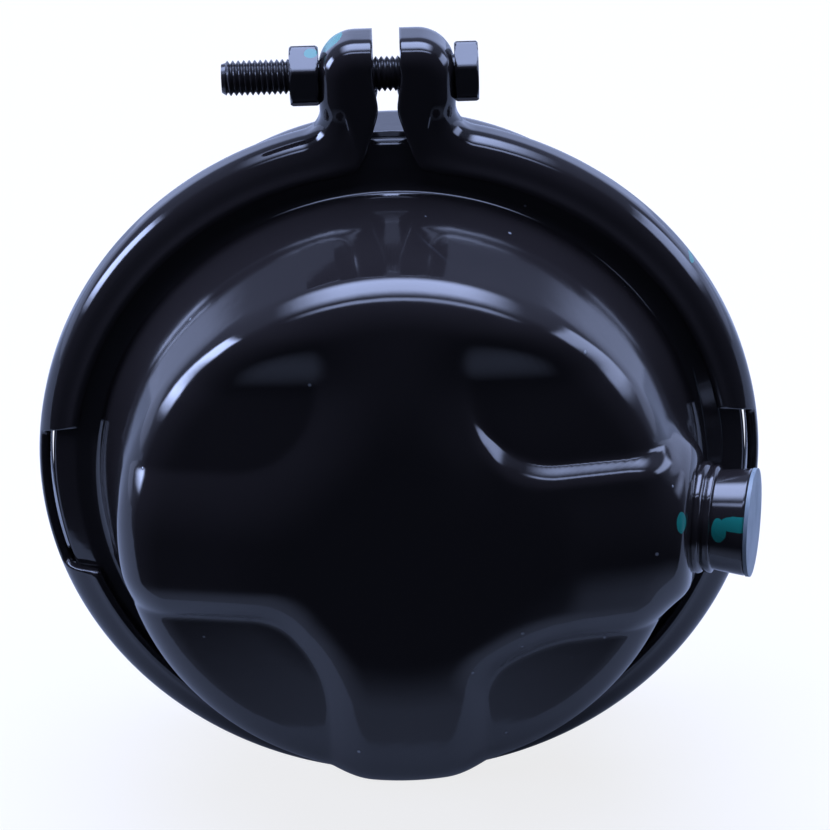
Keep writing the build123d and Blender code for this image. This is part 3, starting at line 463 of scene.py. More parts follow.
def cut_hole(piece, origin, axis, radius, length):
    """Cut a round hole through a piece, along an axis through a point."""
    axis = Vector(axis).normalized()
    across = axis.orthogonal().normalized()
    side = axis.cross(across)
    columns = 64
    points = []
    for end in (-length / 2, length / 2):
        for column in range(columns):
            turn = 2 * math.pi * column / columns
            out = across * math.cos(turn) + side * math.sin(turn)
            points.append(Vector(origin) + axis * end + out * radius)
    faces = grid_faces(2, columns) + [tuple(range(columns))[::-1], tuple(range(columns, 2 * columns))]
    cutter = new_object("cutter", points, faces)
    cut = piece.modifiers.new("hole", "BOOLEAN")
    cut.object = cutter
    cut.operation = "DIFFERENCE"
    cut.solver = "EXACT"
    whole = piece.evaluated_get(bpy.context.evaluated_depsgraph_get())
    holed = bpy.data.meshes.new_from_object(whole)
    piece.modifiers.clear()
    piece.data = holed
    bpy.data.objects.remove(cutter)


def pressure_shell():
    """Pressed cup as one closed sheet: cast outer face, turned flange, cast inner face."""
    columns = SHELL_COLUMNS
    angles = circle(columns)
    outer = cast_surface(angles, cup_guide(SHELL_OUTER_ROWS, RIM_JOIN_DEPTH + OUTER_JOIN_GAP), 0.0)
    flange = np.array(pressure_flange())
    rim = np.stack([
        flange[:, 0, None] * np.cos(angles),
        seam_forward(flange[:, 1])[:, None] * np.ones(columns),
        flange[:, 0, None] * np.sin(angles),
    ], -1)
    inner = cast_surface(angles, cup_guide(SHELL_INNER_ROWS, RIM_JOIN_DEPTH + INNER_JOIN_GAP), -SHEET)[::-1]
    rows = np.concatenate([outer, rim, inner])
    count = len(rows)
    points = rows.reshape(-1, 3)
    front_pole = len(points)
    back_pole = front_pole + 1
    points = np.concatenate([points, [outer[0].mean(0), inner[-1].mean(0)]])
    faces = grid_faces(count, columns)
    last = (count - 1) * columns
    for column in range(columns):
        beside = (column + 1) % columns
        faces.append((front_pole, beside, column))
        faces.append((back_pole, last + column, last + beside))
    shell = new_object("pressure_shell", points, faces)
    origin, axis, _ = port_axes()
    cut_hole(shell, origin, axis, SPIGOT_RADIUS, 30.0)
    shell.data.set_sharp_from_angle(angle=math.radians(SHELL_SHARP))
    return shell


def port_axes():
    """Origin of the port's pad, its axis and the direction across it that lies level."""
    axis = np.array([math.cos(PORT_LEAN), -math.sin(PORT_LEAN), 0.0])
    across = np.array([math.sin(PORT_LEAN), math.cos(PORT_LEAN), 0.0])
    origin = np.array([wall_radius(PORT_DEPTH) + PAD_STANDS_OUT, seam_forward(PORT_DEPTH), PORT_Z])
    return origin, axis, across


def lug_web():
    """Plan path of the right half of the band: lug top, outer side, foot and ring, X and Z."""
    bend_x, bend_z = LUG_OUTER_X - LUG_TOP_BEND, LUG_TOP_Z - LUG_TOP_BEND
    path = [(x, LUG_TOP_Z) for x in np.linspace(LUG_GAP_X, bend_x, 7)]
    path += arc_points((bend_x, bend_z), LUG_TOP_BEND, 90, 0, 21)[1:]
    foot_x = LUG_OUTER_X + LUG_FOOT_BEND
    foot_z = math.sqrt((BAND_RADIUS + LUG_FOOT_BEND) ** 2 - foot_x**2)
    path += [(LUG_OUTER_X, z) for z in np.linspace(bend_z, foot_z, 12)[1:]]
    lean = math.degrees(math.atan2(foot_z, foot_x))
    path += arc_points((foot_x, foot_z), LUG_FOOT_BEND, 180, 180 + lean, 19)[1:]
    path += arc_points((0, 0), BAND_RADIUS, lean, -90, 420)[1:]
    return np.array(path), lean


def along_path(points, count):
    """Evenly spaced points of a polyline."""
    points = np.array(points)
    lengths = path_lengths(points)
    where = np.linspace(0.0, 1.0, count) * lengths[-1]
    return np.stack([np.interp(where, lengths, points[:, i]) for i in range(2)], -1)


def band_stations():
    """Plan points of the web and of the side walls' edges, with the section's sizes at each."""
    web, lean = lug_web()
    polar = np.arctan2(web[:, 1], web[:, 0])
    ring_start = int(np.argmax(np.degrees(polar) <= lean + SAME))
    lip = np.stack([BAND_LIP_RADIUS * np.cos(polar), BAND_LIP_RADIUS * np.sin(polar)], -1)
    join_angle = math.atan2(lip[ring_start][1], lip[ring_start][0])
    bow = [(BAND_LIP_RADIUS * math.cos(a), BAND_LIP_RADIUS * math.sin(a))
           for a in np.linspace(BOW_START, join_angle, 6)]
    corners = [(LUG_GAP_X, 101.0), (LUG_GAP_X, 99.0), LUG_WAIST, LIP_FOOT, bow[0]]
    gap_side = bent_path(corners, [8, 9, 5], 8)
    edge = np.concatenate([along_path([*gap_side, *bow], ring_start + 1), lip[ring_start + 1:]])
    share = smooth_step((BAND_RADIUS + LUG_BLEND - np.hypot(*web.T)) / LUG_BLEND)
    share[ring_start:] = 1.0
    return web, edge, polar, share, ring_start


def section_points(half_web, half_lip, length, bend, reach, flare):
    """Half section of the channel, web to wall edge: outer and inner, each as depth and width."""
    slope = np.arctan2(half_lip - half_web, length)
    turn = math.pi / 2 - slope
    tangent = bend * np.tan(turn / 2)
    flat = half_web - tangent
    wall = np.hypot(length, half_lip - half_web) - tangent
    full = flat + bend * turn + wall
    total = reach * full + (1 - reach) * notch_reach(flat, bend)
    # The last points crowd towards the edge, which is round.
    even = np.linspace(0, 1 - SECTION_EDGE_SHARE, SECTION_POINTS - 5)[:-1]
    crowded = 1 - SECTION_EDGE_SHARE * np.linspace(1, 0, 6) ** 2.2
    s = np.concatenate([even, crowded])[:, None] * total
    swing = np.clip((s - flat) / bend, 0, turn)
    on_wall = np.maximum(s - flat - bend * turn, 0)
    on_lip = np.maximum(on_wall - np.maximum(wall - LIP_FLARE_LENGTH, 0), 0)
    lean = flare * on_lip / LIP_FLARE_LENGTH
    aside = lean * on_lip / 2
    depth = bend * (1 - np.cos(swing)) + on_wall * np.cos(slope) - aside * np.sin(slope)
    width = np.minimum(s, flat) + bend * np.sin(swing) + on_wall * np.sin(slope) + aside * np.cos(slope)
    near_edge = np.clip((s - (total - BAND_EDGE_ROUNDING)) / BAND_EDGE_ROUNDING, 0, 1)
    thick = BAND_SHEET / 2 * np.sqrt(np.maximum(1 - near_edge**2, 0))
    normal_depth, normal_width = -np.cos(swing - lean), np.sin(swing - lean)
    middle_depth = depth - normal_depth * BAND_SHEET / 2
    middle_width = width - normal_width * BAND_SHEET / 2
    outer = (middle_depth + normal_depth * thick, middle_width + normal_width * thick)
    inner = (middle_depth - normal_depth * thick, middle_width - normal_width * thick)
    return outer, inner


def notch_reach(flat, bend):
    """Section length that is left where the side wall is cut away."""
    return flat + bend * np.arcsin(np.clip((NOTCH_HALF - flat) / bend, 0, 1))


def clamp_channel():
    """One-piece clamp: the channel swept round the flanges and up into two hollow lugs."""
    web, edge, polar, ring_share, ring_start = band_stations()
    along = np.gradient(web, axis=0)
    along /= np.linalg.norm(along, axis=1)[:, None]
    inward = np.stack([along[:, 1], -along[:, 0]], -1)
    gap = edge - web
    length = np.linalg.norm(gap, axis=1)
    half_web = LUG_HALF + (BAND_RIM_HALF - LUG_HALF) * ring_share
    half_lip = LUG_HALF + (BAND_LIP_HALF - LUG_HALF) * ring_share
    bend = LUG_SECTION_BEND + (BAND_SECTION_BEND - LUG_SECTION_BEND) * ring_share
    top_cut = smooth_step((NOTCH_TOP - polar) / NOTCH_RAMP + 0.5)
    bottom_cut = smooth_step((polar - NOTCH_BOTTOM) / NOTCH_RAMP + 0.5)
    cut = np.where(np.arange(len(web)) > ring_start, np.minimum(top_cut, bottom_cut), 0.0)
    flare = LIP_FLARE * ring_share * (1 - cut)
    outer, inner = section_points(half_web, half_lip, length, bend, 1 - cut, flare)

    def in_plan(depth):
        straight = np.minimum(depth, bend)
        rest = np.maximum(depth - bend, 0) / np.maximum(length - bend, SAME)
        corner = web + inward * bend[:, None]
        return web[None] + inward[None] * straight[..., None] + (edge - corner)[None] * rest[..., None]

    outer_plan, inner_plan = in_plan(outer[0]), in_plan(inner[0])
    loops = []
    for side, plan, width in ((1, outer_plan, outer[1]), (-1, inner_plan, inner[1])):
        half = np.stack([plan[..., 0], width, plan[..., 1]], -1)
        other = half * np.array([1, -1, 1])
        ring = np.concatenate([other[::-1], half[1:]])
        loops.append(ring if side == 1 else ring[::-1][1:-1])
    right = np.concatenate(loops).transpose(1, 0, 2)
    left = (right * np.array([-1, 1, 1]))[::-1][1:]
    stations = np.concatenate([right, left])
    stations[..., 1] += SEAM_Y
    rows, columns = stations.shape[:2]
    faces = [corners[::-1] for corners in grid_faces(rows, columns)]
    middle = loops[0].shape[0]
    for row, flip in ((0, True), (rows - 1, False)):
        start = row * columns
        for column in range(middle - 1):
            first, second = start + column, start + column + 1
            fourth = start + (columns - column) % columns
            cap = [first, second, start + columns - column - 1, fourth]
            if column == 0:
                cap = [first, second, start + columns - 1]
            if column == middle - 2:
                cap = [first, second, start + columns - column]
            faces.append(cap if flip else cap[::-1])
    return new_object("clamp_channel", stations.reshape(-1, 3), faces)


Thread = collections.namedtuple("Thread", "pitch low high depth crest taper")


def thread_wave(height, angle, pitch):
    """Share of a helical thread's depth: 0 on its crests, 1 in its roots."""
    phase = (height / pitch - angle / (2 * math.pi)) % 1
    return np.clip(np.abs(2 * phase - 1) * THREAD_STEEPNESS - THREAD_CREST, 0, 1)


def turned(name, profile, origin, axis, across, columns, thread=None, shape=None, sharp=180):
    """Solid turned from a profile of radius and height, with a thread on one stretch if one is given.

    A profile that ends on its first point is a ring, and any other starts and ends at the axis. Edges
    sharper than a number of degrees stay crisp.
    """
    ring = tuple(profile[0]) == tuple(profile[-1])
    profile = np.array(profile[:-1] if ring else profile, float)
    axis, across = np.array(axis, float), np.array(across, float)
    side = np.cross(axis, across)
    angle = circle(columns)
    radius = profile[:, 0, None] * np.ones(columns)
    height = profile[:, 1, None] * np.ones(columns)
    if thread is not None:
        start = smooth_step((height - thread.low) / thread.taper)
        fade = start * smooth_step((thread.high - height) / (THREAD_RUNOUT * thread.pitch))
        on_crest = np.abs(profile[:, 0, None] - thread.crest) < SAME
        on_thread = on_crest * (height > thread.low) * (height < thread.high)
        radius = radius - thread.depth * thread_wave(height, angle, thread.pitch) * fade * on_thread
    if shape is not None:
        radius = shape(radius, height, angle)
    points = (np.array(origin) + height[..., None] * axis
              + radius[..., None] * (np.cos(angle)[:, None] * across + np.sin(angle)[:, None] * side))
    faces = grid_faces(len(profile), columns, wrap_rows=ring)
    points = points.reshape(-1, 3)
    for row, flip in ((0, True), (len(profile) - 1, False)):
        if profile[row, 0] <= AXIS_RADIUS:
            centre = len(points)
            points = np.concatenate([points, [points[row * columns:(row + 1) * columns].mean(0)]])
            for column in range(columns):
                pair = (row * columns + column, row * columns + (column + 1) % columns)
                faces.append((centre, *pair[::-1]) if flip else (centre, *pair))
    piece = new_object(name, points, faces)
    if sharp < 180:
        piece.data.set_sharp_from_angle(angle=math.radians(sharp))
    return piece


def fine_rows(radius, start, end, step):
    """Profile rows of one radius at close, even heights."""
    count = max(int(abs(end - start) / step), 2)
    return [(radius, height) for height in np.linspace(start, end, count)]


def hexagon(length):
    """Shape that turns the wide rows from height 0 up to a length into the bolt's chamfered hexagon."""
    half = BOLT_HEAD_FLATS / 2
    corner = BOLT_HEAD_FLATS / math.sqrt(3)

    def shape(radius, height, angle):
        facet = (angle - HEX_CORNER_ANGLE) % (math.pi / 3) - math.pi / 6
        cut = np.full_like(facet, corner - HEX_CORNER_CUT)
        flat = smooth_min(half / np.cos(facet), cut, HEX_CORNER_BEND)
        room = half + np.minimum(height, length - height) / math.tan(HEX_CHAMFER)
        wide = radius > half - 0.01
        return np.where(wide, np.minimum(np.minimum(flat, room), radius), radius)

    return shape


def clamp_screw():
    """Hexagon head, plain shank and rolled thread of the clamp bolt, pointing to -X."""
    face = (HEX_FACE_RADIUS, BOLT_HEAD_HEIGHT)
    head = [(AXIS_RADIUS, BOLT_HEAD_HEIGHT), (5.0, BOLT_HEAD_HEIGHT), face]
    rim = [(HEX_RIM_RADIUS, height) for height in np.linspace(BOLT_HEAD_HEIGHT, 0, HEX_RIM_ROWS)]
    end = BOLT_LENGTH
    start = -(end - BOLT_THREAD)
    shank = [(HEX_FACE_RADIUS, 0.0), (BOLT_RADIUS, 0.0), (BOLT_RADIUS, start + 0.3)]
    threaded = fine_rows(BOLT_RADIUS, start, -end + 0.9, BOLT_PITCH / 14)
    tip = [(BOLT_RADIUS - 0.75, -end), (AXIS_RADIUS, -end)]
    profile = [*head, *rim, *shank, *threaded, *tip]
    thread = Thread(BOLT_PITCH, -end + 0.2, start, BOLT_THREAD_DEPTH, BOLT_RADIUS, 0.9)
    origin = (LUG_OUTER_X, SEAM_Y, BOLT_Z)
    shape = hexagon(BOLT_HEAD_HEIGHT)
    return turned(
        "clamp_screw", profile[::-1], origin, (1, 0, 0), (0, 1, 0), FINE_COLUMNS, thread, shape, HEX_SHARP
    )


def clamp_screw_nut():
    """Hexagon nut against the left lug, one corner towards the camera like the head's."""
    wide = [(HEX_RIM_RADIUS, height) for height in np.linspace(0, BOLT_NUT_HEIGHT, HEX_RIM_ROWS)]
    profile = [
        (BOLT_NUT_BORE, 0), (HEX_FACE_RADIUS, 0), *wide, (HEX_FACE_RADIUS, BOLT_NUT_HEIGHT),
        (BOLT_NUT_BORE, BOLT_NUT_HEIGHT), (BOLT_NUT_BORE, 0),
    ]
    origin = (-LUG_OUTER_X - BOLT_NUT_HEIGHT, SEAM_Y, BOLT_Z)
    shape = hexagon(BOLT_NUT_HEIGHT)
    return turned(
        "clamp_screw_nut", profile, origin, (1, 0, 0), (0, 1, 0), FINE_COLUMNS, None, shape, HEX_SHARP
    )


def threaded_stud(side):
    """Mounting stud with its keyed head inside, pressed shoulder and thread."""
    bottom = REAR_INSIDE_Y - STUD_HEAD
    profile = [
        (AXIS_RADIUS, bottom), (4, bottom), (STUD_HEAD_RADIUS - 0.4, bottom),
        (STUD_HEAD_RADIUS, bottom + 0.4), (STUD_HEAD_RADIUS, REAR_INSIDE_Y),
        (STUD_SHOULDER_RADIUS, REAR_INSIDE_Y), (STUD_SHOULDER_RADIUS, STUD_SEAT_Y),
        (STUD_RADIUS, STUD_SEAT_Y),
        *fine_rows(STUD_RADIUS, 0.2, STUD_LENGTH - 1.2, STUD_PITCH / THREAD_ROWS),
        (STUD_RADIUS - 1.2, STUD_LENGTH), (AXIS_RADIUS, STUD_LENGTH),
    ]

    def keyed(radius, height, angle):
        reach = side * np.cos(angle) * STUD_X
        room = -reach + np.sqrt(np.maximum(reach**2 - STUD_X**2 + HEAD_ROOM**2, 0))
        return np.where(height < REAR_INSIDE_Y + 0.1, np.minimum(radius, room), radius)

    name = "threaded_stud_left" if side < 0 else "threaded_stud_right"
    thread = Thread(STUD_PITCH, 0.5, STUD_LENGTH - 0.4, STUD_THREAD_DEPTH, STUD_RADIUS, 2.0)
    origin = (side * STUD_X, 0, 0)
    return turned(name, profile, origin, (0, 1, 0), (1, 0, 0), STUD_COLUMNS, thread, keyed, THREAD_SHARP)


def threaded_rod():
    """Push rod, plain through the guard and threaded for the lock nut and clevis."""
    foot = seam_forward(PLATE_REAR_DEPTH)
    profile = [
        (AXIS_RADIUS, foot), (ROD_RADIUS, foot), (ROD_RADIUS, foot + 1),
        *[(ROD_RADIUS, height) for height in np.linspace(foot + 8, ROD_THREAD_START, 10)],
        *fine_rows(ROD_RADIUS, ROD_THREAD_START + 0.1, ROD_END - 1.2, STUD_PITCH / THREAD_ROWS),
        (ROD_RADIUS - 1.2, ROD_END), (AXIS_RADIUS, ROD_END),
    ]
    thread = Thread(STUD_PITCH, ROD_THREAD_START, ROD_END - 0.4, STUD_THREAD_DEPTH, ROD_RADIUS, 1.5)
    return turned(
        "threaded_rod", profile, (0, 0, 0), (0, 1, 0), (1, 0, 0), STUD_COLUMNS, thread, sharp=THREAD_SHARP
    )


def boss_outer(height):
    """Radius of the conical boss at a height."""
    return BOSS_FOOT_RADIUS + (BOSS_END_RADIUS - BOSS_FOOT_RADIUS) * height / BOSS_LENGTH


def weld_bead():
    """Two-pass weld with an uneven toe, a rippled lower lobe and a narrower upper one."""
    columns, count = 240, 30
    angle = circle(columns)
    t = np.linspace(0, 1, count)[:, None]
    wander = 0.55 * np.sin(angle + 0.6) + 0.3 * np.sin(2 * angle + 2.1) + 0.22 * np.sin(3 * angle + 0.4)
    ripple = 0.09 * np.sin(9 * angle + 1.2 * np.sin(3 * angle)) + 0.05 * np.sin(14 * angle + 1.0)
    split = WELD_SPLIT + 0.05 * np.sin(angle + 1.0) + 0.03 * np.sin(3 * angle)

    def lobe(middle, size):
        return np.sqrt(np.clip(1 - ((t - middle) / (0.62 * size)) ** 2, 0, 1))

    low = lobe(0.5 * split, split) * (WELD_LOW_HEIGHT + 0.5 * wander + ripple)
    high = lobe(0.5 * (1 + split), 1 - split) * (WELD_HIGH_HEIGHT + 0.35 * wander + ripple)
    bulge = smooth_max(low, high, 0.25) * smooth_step((1.02 - t) / 0.14)
    height = WELD_LENGTH * t * np.ones_like(angle)
    radius = boss_outer(height) - WELD_SUNK + bulge
    outside = np.stack([np.minimum(radius, WELD_LIMIT), height], -1)
    inside = np.stack([boss_outer(height) - WELD_INSIDE, height], -1)[::-1]
    loop = np.concatenate([outside, inside])
    origin, axis, across = port_axes()
    around = np.cos(angle)[:, None] * across + np.sin(angle)[:, None] * np.array([0.0, 0.0, 1.0])
    points = origin + loop[..., 1, None] * axis + loop[..., 0, None] * around[None]
    return new_object("weld_bead", points.reshape(-1, 3), grid_faces(len(loop), columns, wrap_rows=True))


def threaded_boss():
    """Conical boss with rounded edges, an internal thread and a plain mouth."""
    outer = bent_path([
        (BOSS_SPIGOT, BOSS_SPIGOT_END), (BOSS_SPIGOT, 0.0), (BOSS_FOOT_RADIUS, 0.0),
        (BOSS_END_RADIUS, BOSS_LENGTH), (BOSS_MOUTH_RADIUS, BOSS_LENGTH),
        (BOSS_MOUTH_RADIUS, BOSS_MOUTH_END), (BOSS_BORE_RADIUS, BOSS_BORE_END),
    ], [0, 0, 0.7, 0.35, 0, 0], 5)
    bore = fine_rows(BOSS_BORE_RADIUS, BOSS_BORE_END - 0.1, -2.6, STUD_PITCH / THREAD_ROWS)
    foot = (BOSS_BORE_RADIUS + 0.3, BOSS_SPIGOT_END)
    profile = [*outer, *bore, foot, (BOSS_SPIGOT, BOSS_SPIGOT_END)]

    def cut(radius, height, angle):
        on_bore = np.abs(radius - BOSS_BORE_RADIUS) < SAME
        inside = on_bore * smooth_step((BOSS_BORE_END - 0.2 - height) / 0.8)
        return radius + 0.7 * thread_wave(height, angle, STUD_PITCH) * inside

    return turned("threaded_boss", profile, *port_axes(), FINE_COLUMNS, shape=cut, sharp=THREAD_SHARP)


def rubber_diaphragm():
    """Moulded cup with its wedge bead, its side wall in close rings."""
    def wall(depth):
        return wall_radius(depth) - 3.05 - DIAPHRAGM_WALL_GAP

    front, thick = DIAPHRAGM_FACE_DEPTH, DIAPHRAGM_THICKNESS
    back = front - thick
    outline = [
        (AXIS_RADIUS, front), (wall(front), front),
        (wall(BEAD_AXIAL), BEAD_AXIAL), (BEAD_FLAT_RADIUS, BEAD_AXIAL), (BEAD_RADIUS, BEAD_RIM_AXIAL),
        (BEAD_RADIUS, -BEAD_RIM_AXIAL), (BEAD_FLAT_RADIUS, -BEAD_AXIAL),
        (wall(-BEAD_AXIAL) - thick, -BEAD_AXIAL), (wall(back) - thick, back), (AXIS_RADIUS, back),
    ]
    rounded = bent_path(outline, [11, 7, 0, 0.5, 0.5, 0, 2, 8], 8)
    rows = [rounded[0]]
    for (radius, depth), (next_radius, next_depth) in zip(rounded, rounded[1:]):
        run, rise = next_radius - radius, next_depth - depth
        steps = max(int(math.hypot(run, rise) / DIAPHRAGM_ROW_GAP), 1)
        rows += [(radius + run * share, depth + rise * share) for share in np.linspace(0, 1, steps + 1)[1:]]
    return turned("rubber_diaphragm", rows[::-1], (0, SEAM_Y, 0), (0, -1, 0), (1, 0, 0), 128)


def coil_spring():
    """Conical compression spring between the push plate and the rear housing."""
    start = seam_forward(PLATE_REAR_DEPTH) + SPRING_GAP + SPRING_WIRE / 2
    end = REAR_INSIDE_Y - SPRING_GAP - SPRING_WIRE / 2
    rings, columns = SPRING_RINGS_PER_TURN * SPRING_TURNS, SPRING_COLUMNS
    share = np.linspace(0, 1, rings + 1)
    turn = 2 * math.pi * SPRING_TURNS * share
    radius = SPRING_SMALL + (SPRING_BIG - SPRING_SMALL) * share
    centre = np.stack([radius * np.cos(turn), start + (end - start) * share, radius * np.sin(turn)], -1)
    out = np.stack([np.cos(turn), np.zeros_like(turn), np.sin(turn)], -1)
    ahead = np.gradient(centre, axis=0)
    ahead /= np.linalg.norm(ahead, axis=1)[:, None]
    side = np.cross(ahead, out)
    around = circle(columns)
    offset = np.cos(around)[None, :, None] * out[:, None] + np.sin(around)[None, :, None] * side[:, None]
    points = (centre[:, None] + offset * SPRING_WIRE / 2).reshape(-1, 3)
    faces = grid_faces(rings + 1, columns)
    faces.append(tuple(range(columns)))
    faces.append(tuple(range(rings * columns, (rings + 1) * columns))[::-1])
    return new_object("coil_spring", points, faces)


class Graph:
    """Short way to build a tree of nodes."""

    def __init__(self, tree):
        self.tree = tree

    def feed(self, socket, value):
        """Set or link one socket."""
        if isinstance(value, bpy.types.NodeSocket):
            self.tree.links.new(value, socket)
        else:
            socket.default_value = value

    def node(self, kind, *values, **named):
        """New node: settings have lower-case names, inputs come in order or by capital names."""
        made = self.tree.nodes.new(kind)
        for key, value in named.items():
            if key.islower():
                setattr(made, key, value)
        for key, value in [*enumerate(values), *named.items()]:
            if not str(key).islower():
                self.feed(made.inputs[key], value)
        return made

    def math(self, operation, *values, clamp=False):
        """Result of one math node."""
        return self.node("ShaderNodeMath", *values, operation=operation, use_clamp=clamp).outputs[0]

    def ramp(self, value, low, high, out_low=0.0, out_high=1.0):
        """Value moved from one range to another, held at its ends, eased."""
        return self.node(
            "ShaderNodeMapRange", value, low, high, out_low, out_high, interpolation_type="SMOOTHSTEP"
        ).outputs[0]

    def product(self, first, *others):
        """Product of several values."""
        for other in others:
            first = self.math("MULTIPLY", first, other)
        return first

    def window(self, value, low, high, soft):
        """1 between two bounds and 0 outside, each edge eased over twice a width."""
        rise = self.ramp(value, low - soft, low + soft)
        return self.product(rise, self.ramp(value, high - soft, high + soft, 1.0, 0.0))


class Shading(Graph):
    """One material's nodes, with its shader and object-space helpers; scales are cells per metre."""

    def __init__(self, name):
        self.material = bpy.data.materials.new(name)
        self.material.use_nodes = True
        super().__init__(self.material.node_tree)
        self.shader = self.tree.nodes["Principled BSDF"]
        self.place = self.node("ShaderNodeTexCoord").outputs["Object"]

    def noise(self, scale, detail=2.0, roughness=0.5, stretch=None):
        """Noise in object space."""
        place = self.place
        if stretch:
            place = self.node("ShaderNodeMapping", Vector=place, Scale=stretch).outputs[0]
        return self.node(
            "ShaderNodeTexNoise", Vector=place, Scale=scale, Detail=detail, Roughness=roughness
        ).outputs["Fac"]

    def mix(self, share, first, second):
        """Mix of two colours."""
        made = self.node("ShaderNodeMix", data_type="RGBA", Factor=share, A=first, B=second)
        return made.outputs["Result"]

    def specks(self, scale, size, share):
        """Small round specks, present in a share of the cells."""
        cells = self.node("ShaderNodeTexVoronoi", Vector=self.place, Scale=scale)
        spot = self.ramp(cells.outputs["Distance"], size * 0.6, size, 1.0, 0.0)
        pick = self.node("ShaderNodeSeparateColor", Color=cells.outputs["Color"])
        return self.math("MULTIPLY", spot, self.math("LESS_THAN", pick.outputs["Red"], share))

    def scratches(self, scale, stretch, share, turn):
        """Sparse fine lines along a direction."""
        mapping = self.node("ShaderNodeMapping", Vector=self.place, Rotation=turn, Scale=stretch)
        warp = self.node("ShaderNodeTexNoise", Vector=self.place, Scale=30.0).outputs["Color"]
        bent = self.node("ShaderNodeMix", data_type="VECTOR", Factor=0.004, A=mapping.outputs[0], B=warp)
        cells = self.node(
            "ShaderNodeTexVoronoi", feature="DISTANCE_TO_EDGE", Vector=bent.outputs["Result"], Scale=scale
        )
        line = self.ramp(cells.outputs["Distance"], 0.0, 0.012, 1.0, 0.0)
        area = self.ramp(self.noise(22.0, 3.0), 1 - share, 1 - share + 0.06)
        return self.math("MULTIPLY", line, area)

    def patch(self, centre, size):
        """Mask of a ragged blot round a place in millimetres."""
        centre, size = ([value * MM for value in triple] for triple in (centre, size))
        moved = self.node("ShaderNodeVectorMath", self.place, centre, operation="SUBTRACT")
        scaled = self.node("ShaderNodeVectorMath", moved.outputs[0], size, operation="DIVIDE")
        span = self.node("ShaderNodeVectorMath", scaled.outputs[0], operation="LENGTH")
        edge = self.math("MULTIPLY_ADD", self.noise(420.0, 3.0, 0.6), RAGGED, -RAGGED / 2)
        return self.ramp(self.math("ADD", span.outputs["Value"], edge), 0.93, 1.0, 1.0, 0.0)

    def bump(self, height, distance, strength, under=None):
        """Bump of a height in metres, over another bump if one is given."""
        made = self.node("ShaderNodeBump", Height=height, Distance=distance, Strength=strength)
        if under is not None:
            self.feed(made.inputs["Normal"], under)
        return made.outputs["Normal"]

    def finish(self, **inputs):
        """Feed the shader's sockets and give back the material."""
        for key, value in inputs.items():
            self.feed(self.shader.inputs[key.replace("_", " ")], value)
        return self.material


RAGGED = 0.35
TEAL = (0.01, 0.22, 0.18, 1)
ENAMEL_BLACK = (0.017, 0.0145, 0.015, 1)
ENAMEL_HAZE = (0.029, 0.025, 0.025, 1)
ENAMEL_SCRATCH = (0.05, 0.05, 0.055, 1)
DUST = (0.28, 0.3, 0.32, 1)
NICK = (0.09, 0.085, 0.07, 1)
BLOOM = (0.06, 0.058, 0.055, 1)
CAP_BLUE = (0.25, 0.30, 0.33, 1)
CAP_CLOUD = (0.20, 0.25, 0.28, 1)
CAP_SPRAY = (0.08, 0.09, 0.1, 1)
CAP_SCRATCH = (0.72, 0.78, 0.85, 1)


def enamel(name, marks=(), waviness=0.00035, dulled=0.0):
    """Thick gloss black enamel: orange peel, haze, dust specks, fine scratches and paint marks."""
    paint = Shading(name)
    haze = paint.noise(14.0, 4.0, 0.6)
    dust = paint.specks(scale=260.0, size=0.13, share=0.035)
    lines = paint.scratches(scale=34.0, stretch=(1.0, 1.0, 0.18), share=0.36, turn=(0.3, 0.9, 0.4))
    colour = paint.mix(paint.ramp(haze, 0.45, 0.75, 0.0, 0.35), ENAMEL_BLACK, ENAMEL_HAZE)
    colour = paint.mix(paint.math("MULTIPLY", lines, 0.35), colour, ENAMEL_SCRATCH)
    colour = paint.mix(paint.math("MULTIPLY", dust, 0.8), colour, DUST)
    roughness = paint.ramp(haze, 0.3, 0.8, 0.075 + dulled, 0.15 + dulled)
    mask = None
    for centre, size in marks:
        blot = paint.patch(centre, size)
        mask = blot if mask is None else paint.math("MAXIMUM", mask, blot)
    if mask is not None:
        colour = paint.mix(mask, colour, TEAL)
        roughness = paint.math("ADD", roughness, paint.math("MULTIPLY", mask, 0.16), clamp=True)
    peel = paint.bump(paint.noise(330.0, 1.5), distance=0.00006, strength=0.35)
    dents = paint.bump(paint.noise(24.0, 1.0), distance=waviness, strength=0.5, under=peel)
    grit = paint.bump(dust, distance=0.00008, strength=0.6, under=dents)
    return paint.finish(
        Base_Color=colour, Roughness=roughness, IOR=1.56, Coat_Weight=0.35, Coat_Roughness=0.05,
        Normal=grit,
    )


def plated(name, tint, tone, roughness):
    """Zinc or bright steel with a mottled plating, turning marks and small dark nicks."""
    metal = Shading(name)
    mottle = metal.noise(160.0, 5.0, 0.65)
    nicks = metal.specks(scale=240.0, size=0.2, share=0.08)
    colour = metal.mix(metal.ramp(mottle, 0.35, 0.7), tint, tone)
    colour = metal.mix(metal.math("MULTIPLY", nicks, 0.7), colour, NICK)
    rough = metal.ramp(mottle, 0.3, 0.75, roughness, roughness + 0.16)
    grain = metal.bump(metal.noise(900.0, 2.0, 0.5, (1, 6, 1)), distance=0.00003, strength=0.5)
    return metal.finish(Base_Color=colour, Metallic=0.95, Roughness=rough, Normal=grain)


def rubber(name, tint):
    """Matt black rubber with a dusty bloom and a fine moulded grain."""
    skin = Shading(name)
    bloom = skin.noise(60.0, 5.0, 0.6)
    colour = skin.mix(skin.ramp(bloom, 0.4, 0.8, 0.0, 0.6), tint, BLOOM)
    grain = skin.bump(skin.noise(1400.0, 3.0, 0.6), distance=0.00005, strength=0.6)
    return skin.finish(Base_Color=colour, Roughness=skin.ramp(bloom, 0.3, 0.8, 0.55, 0.75), Normal=grain)


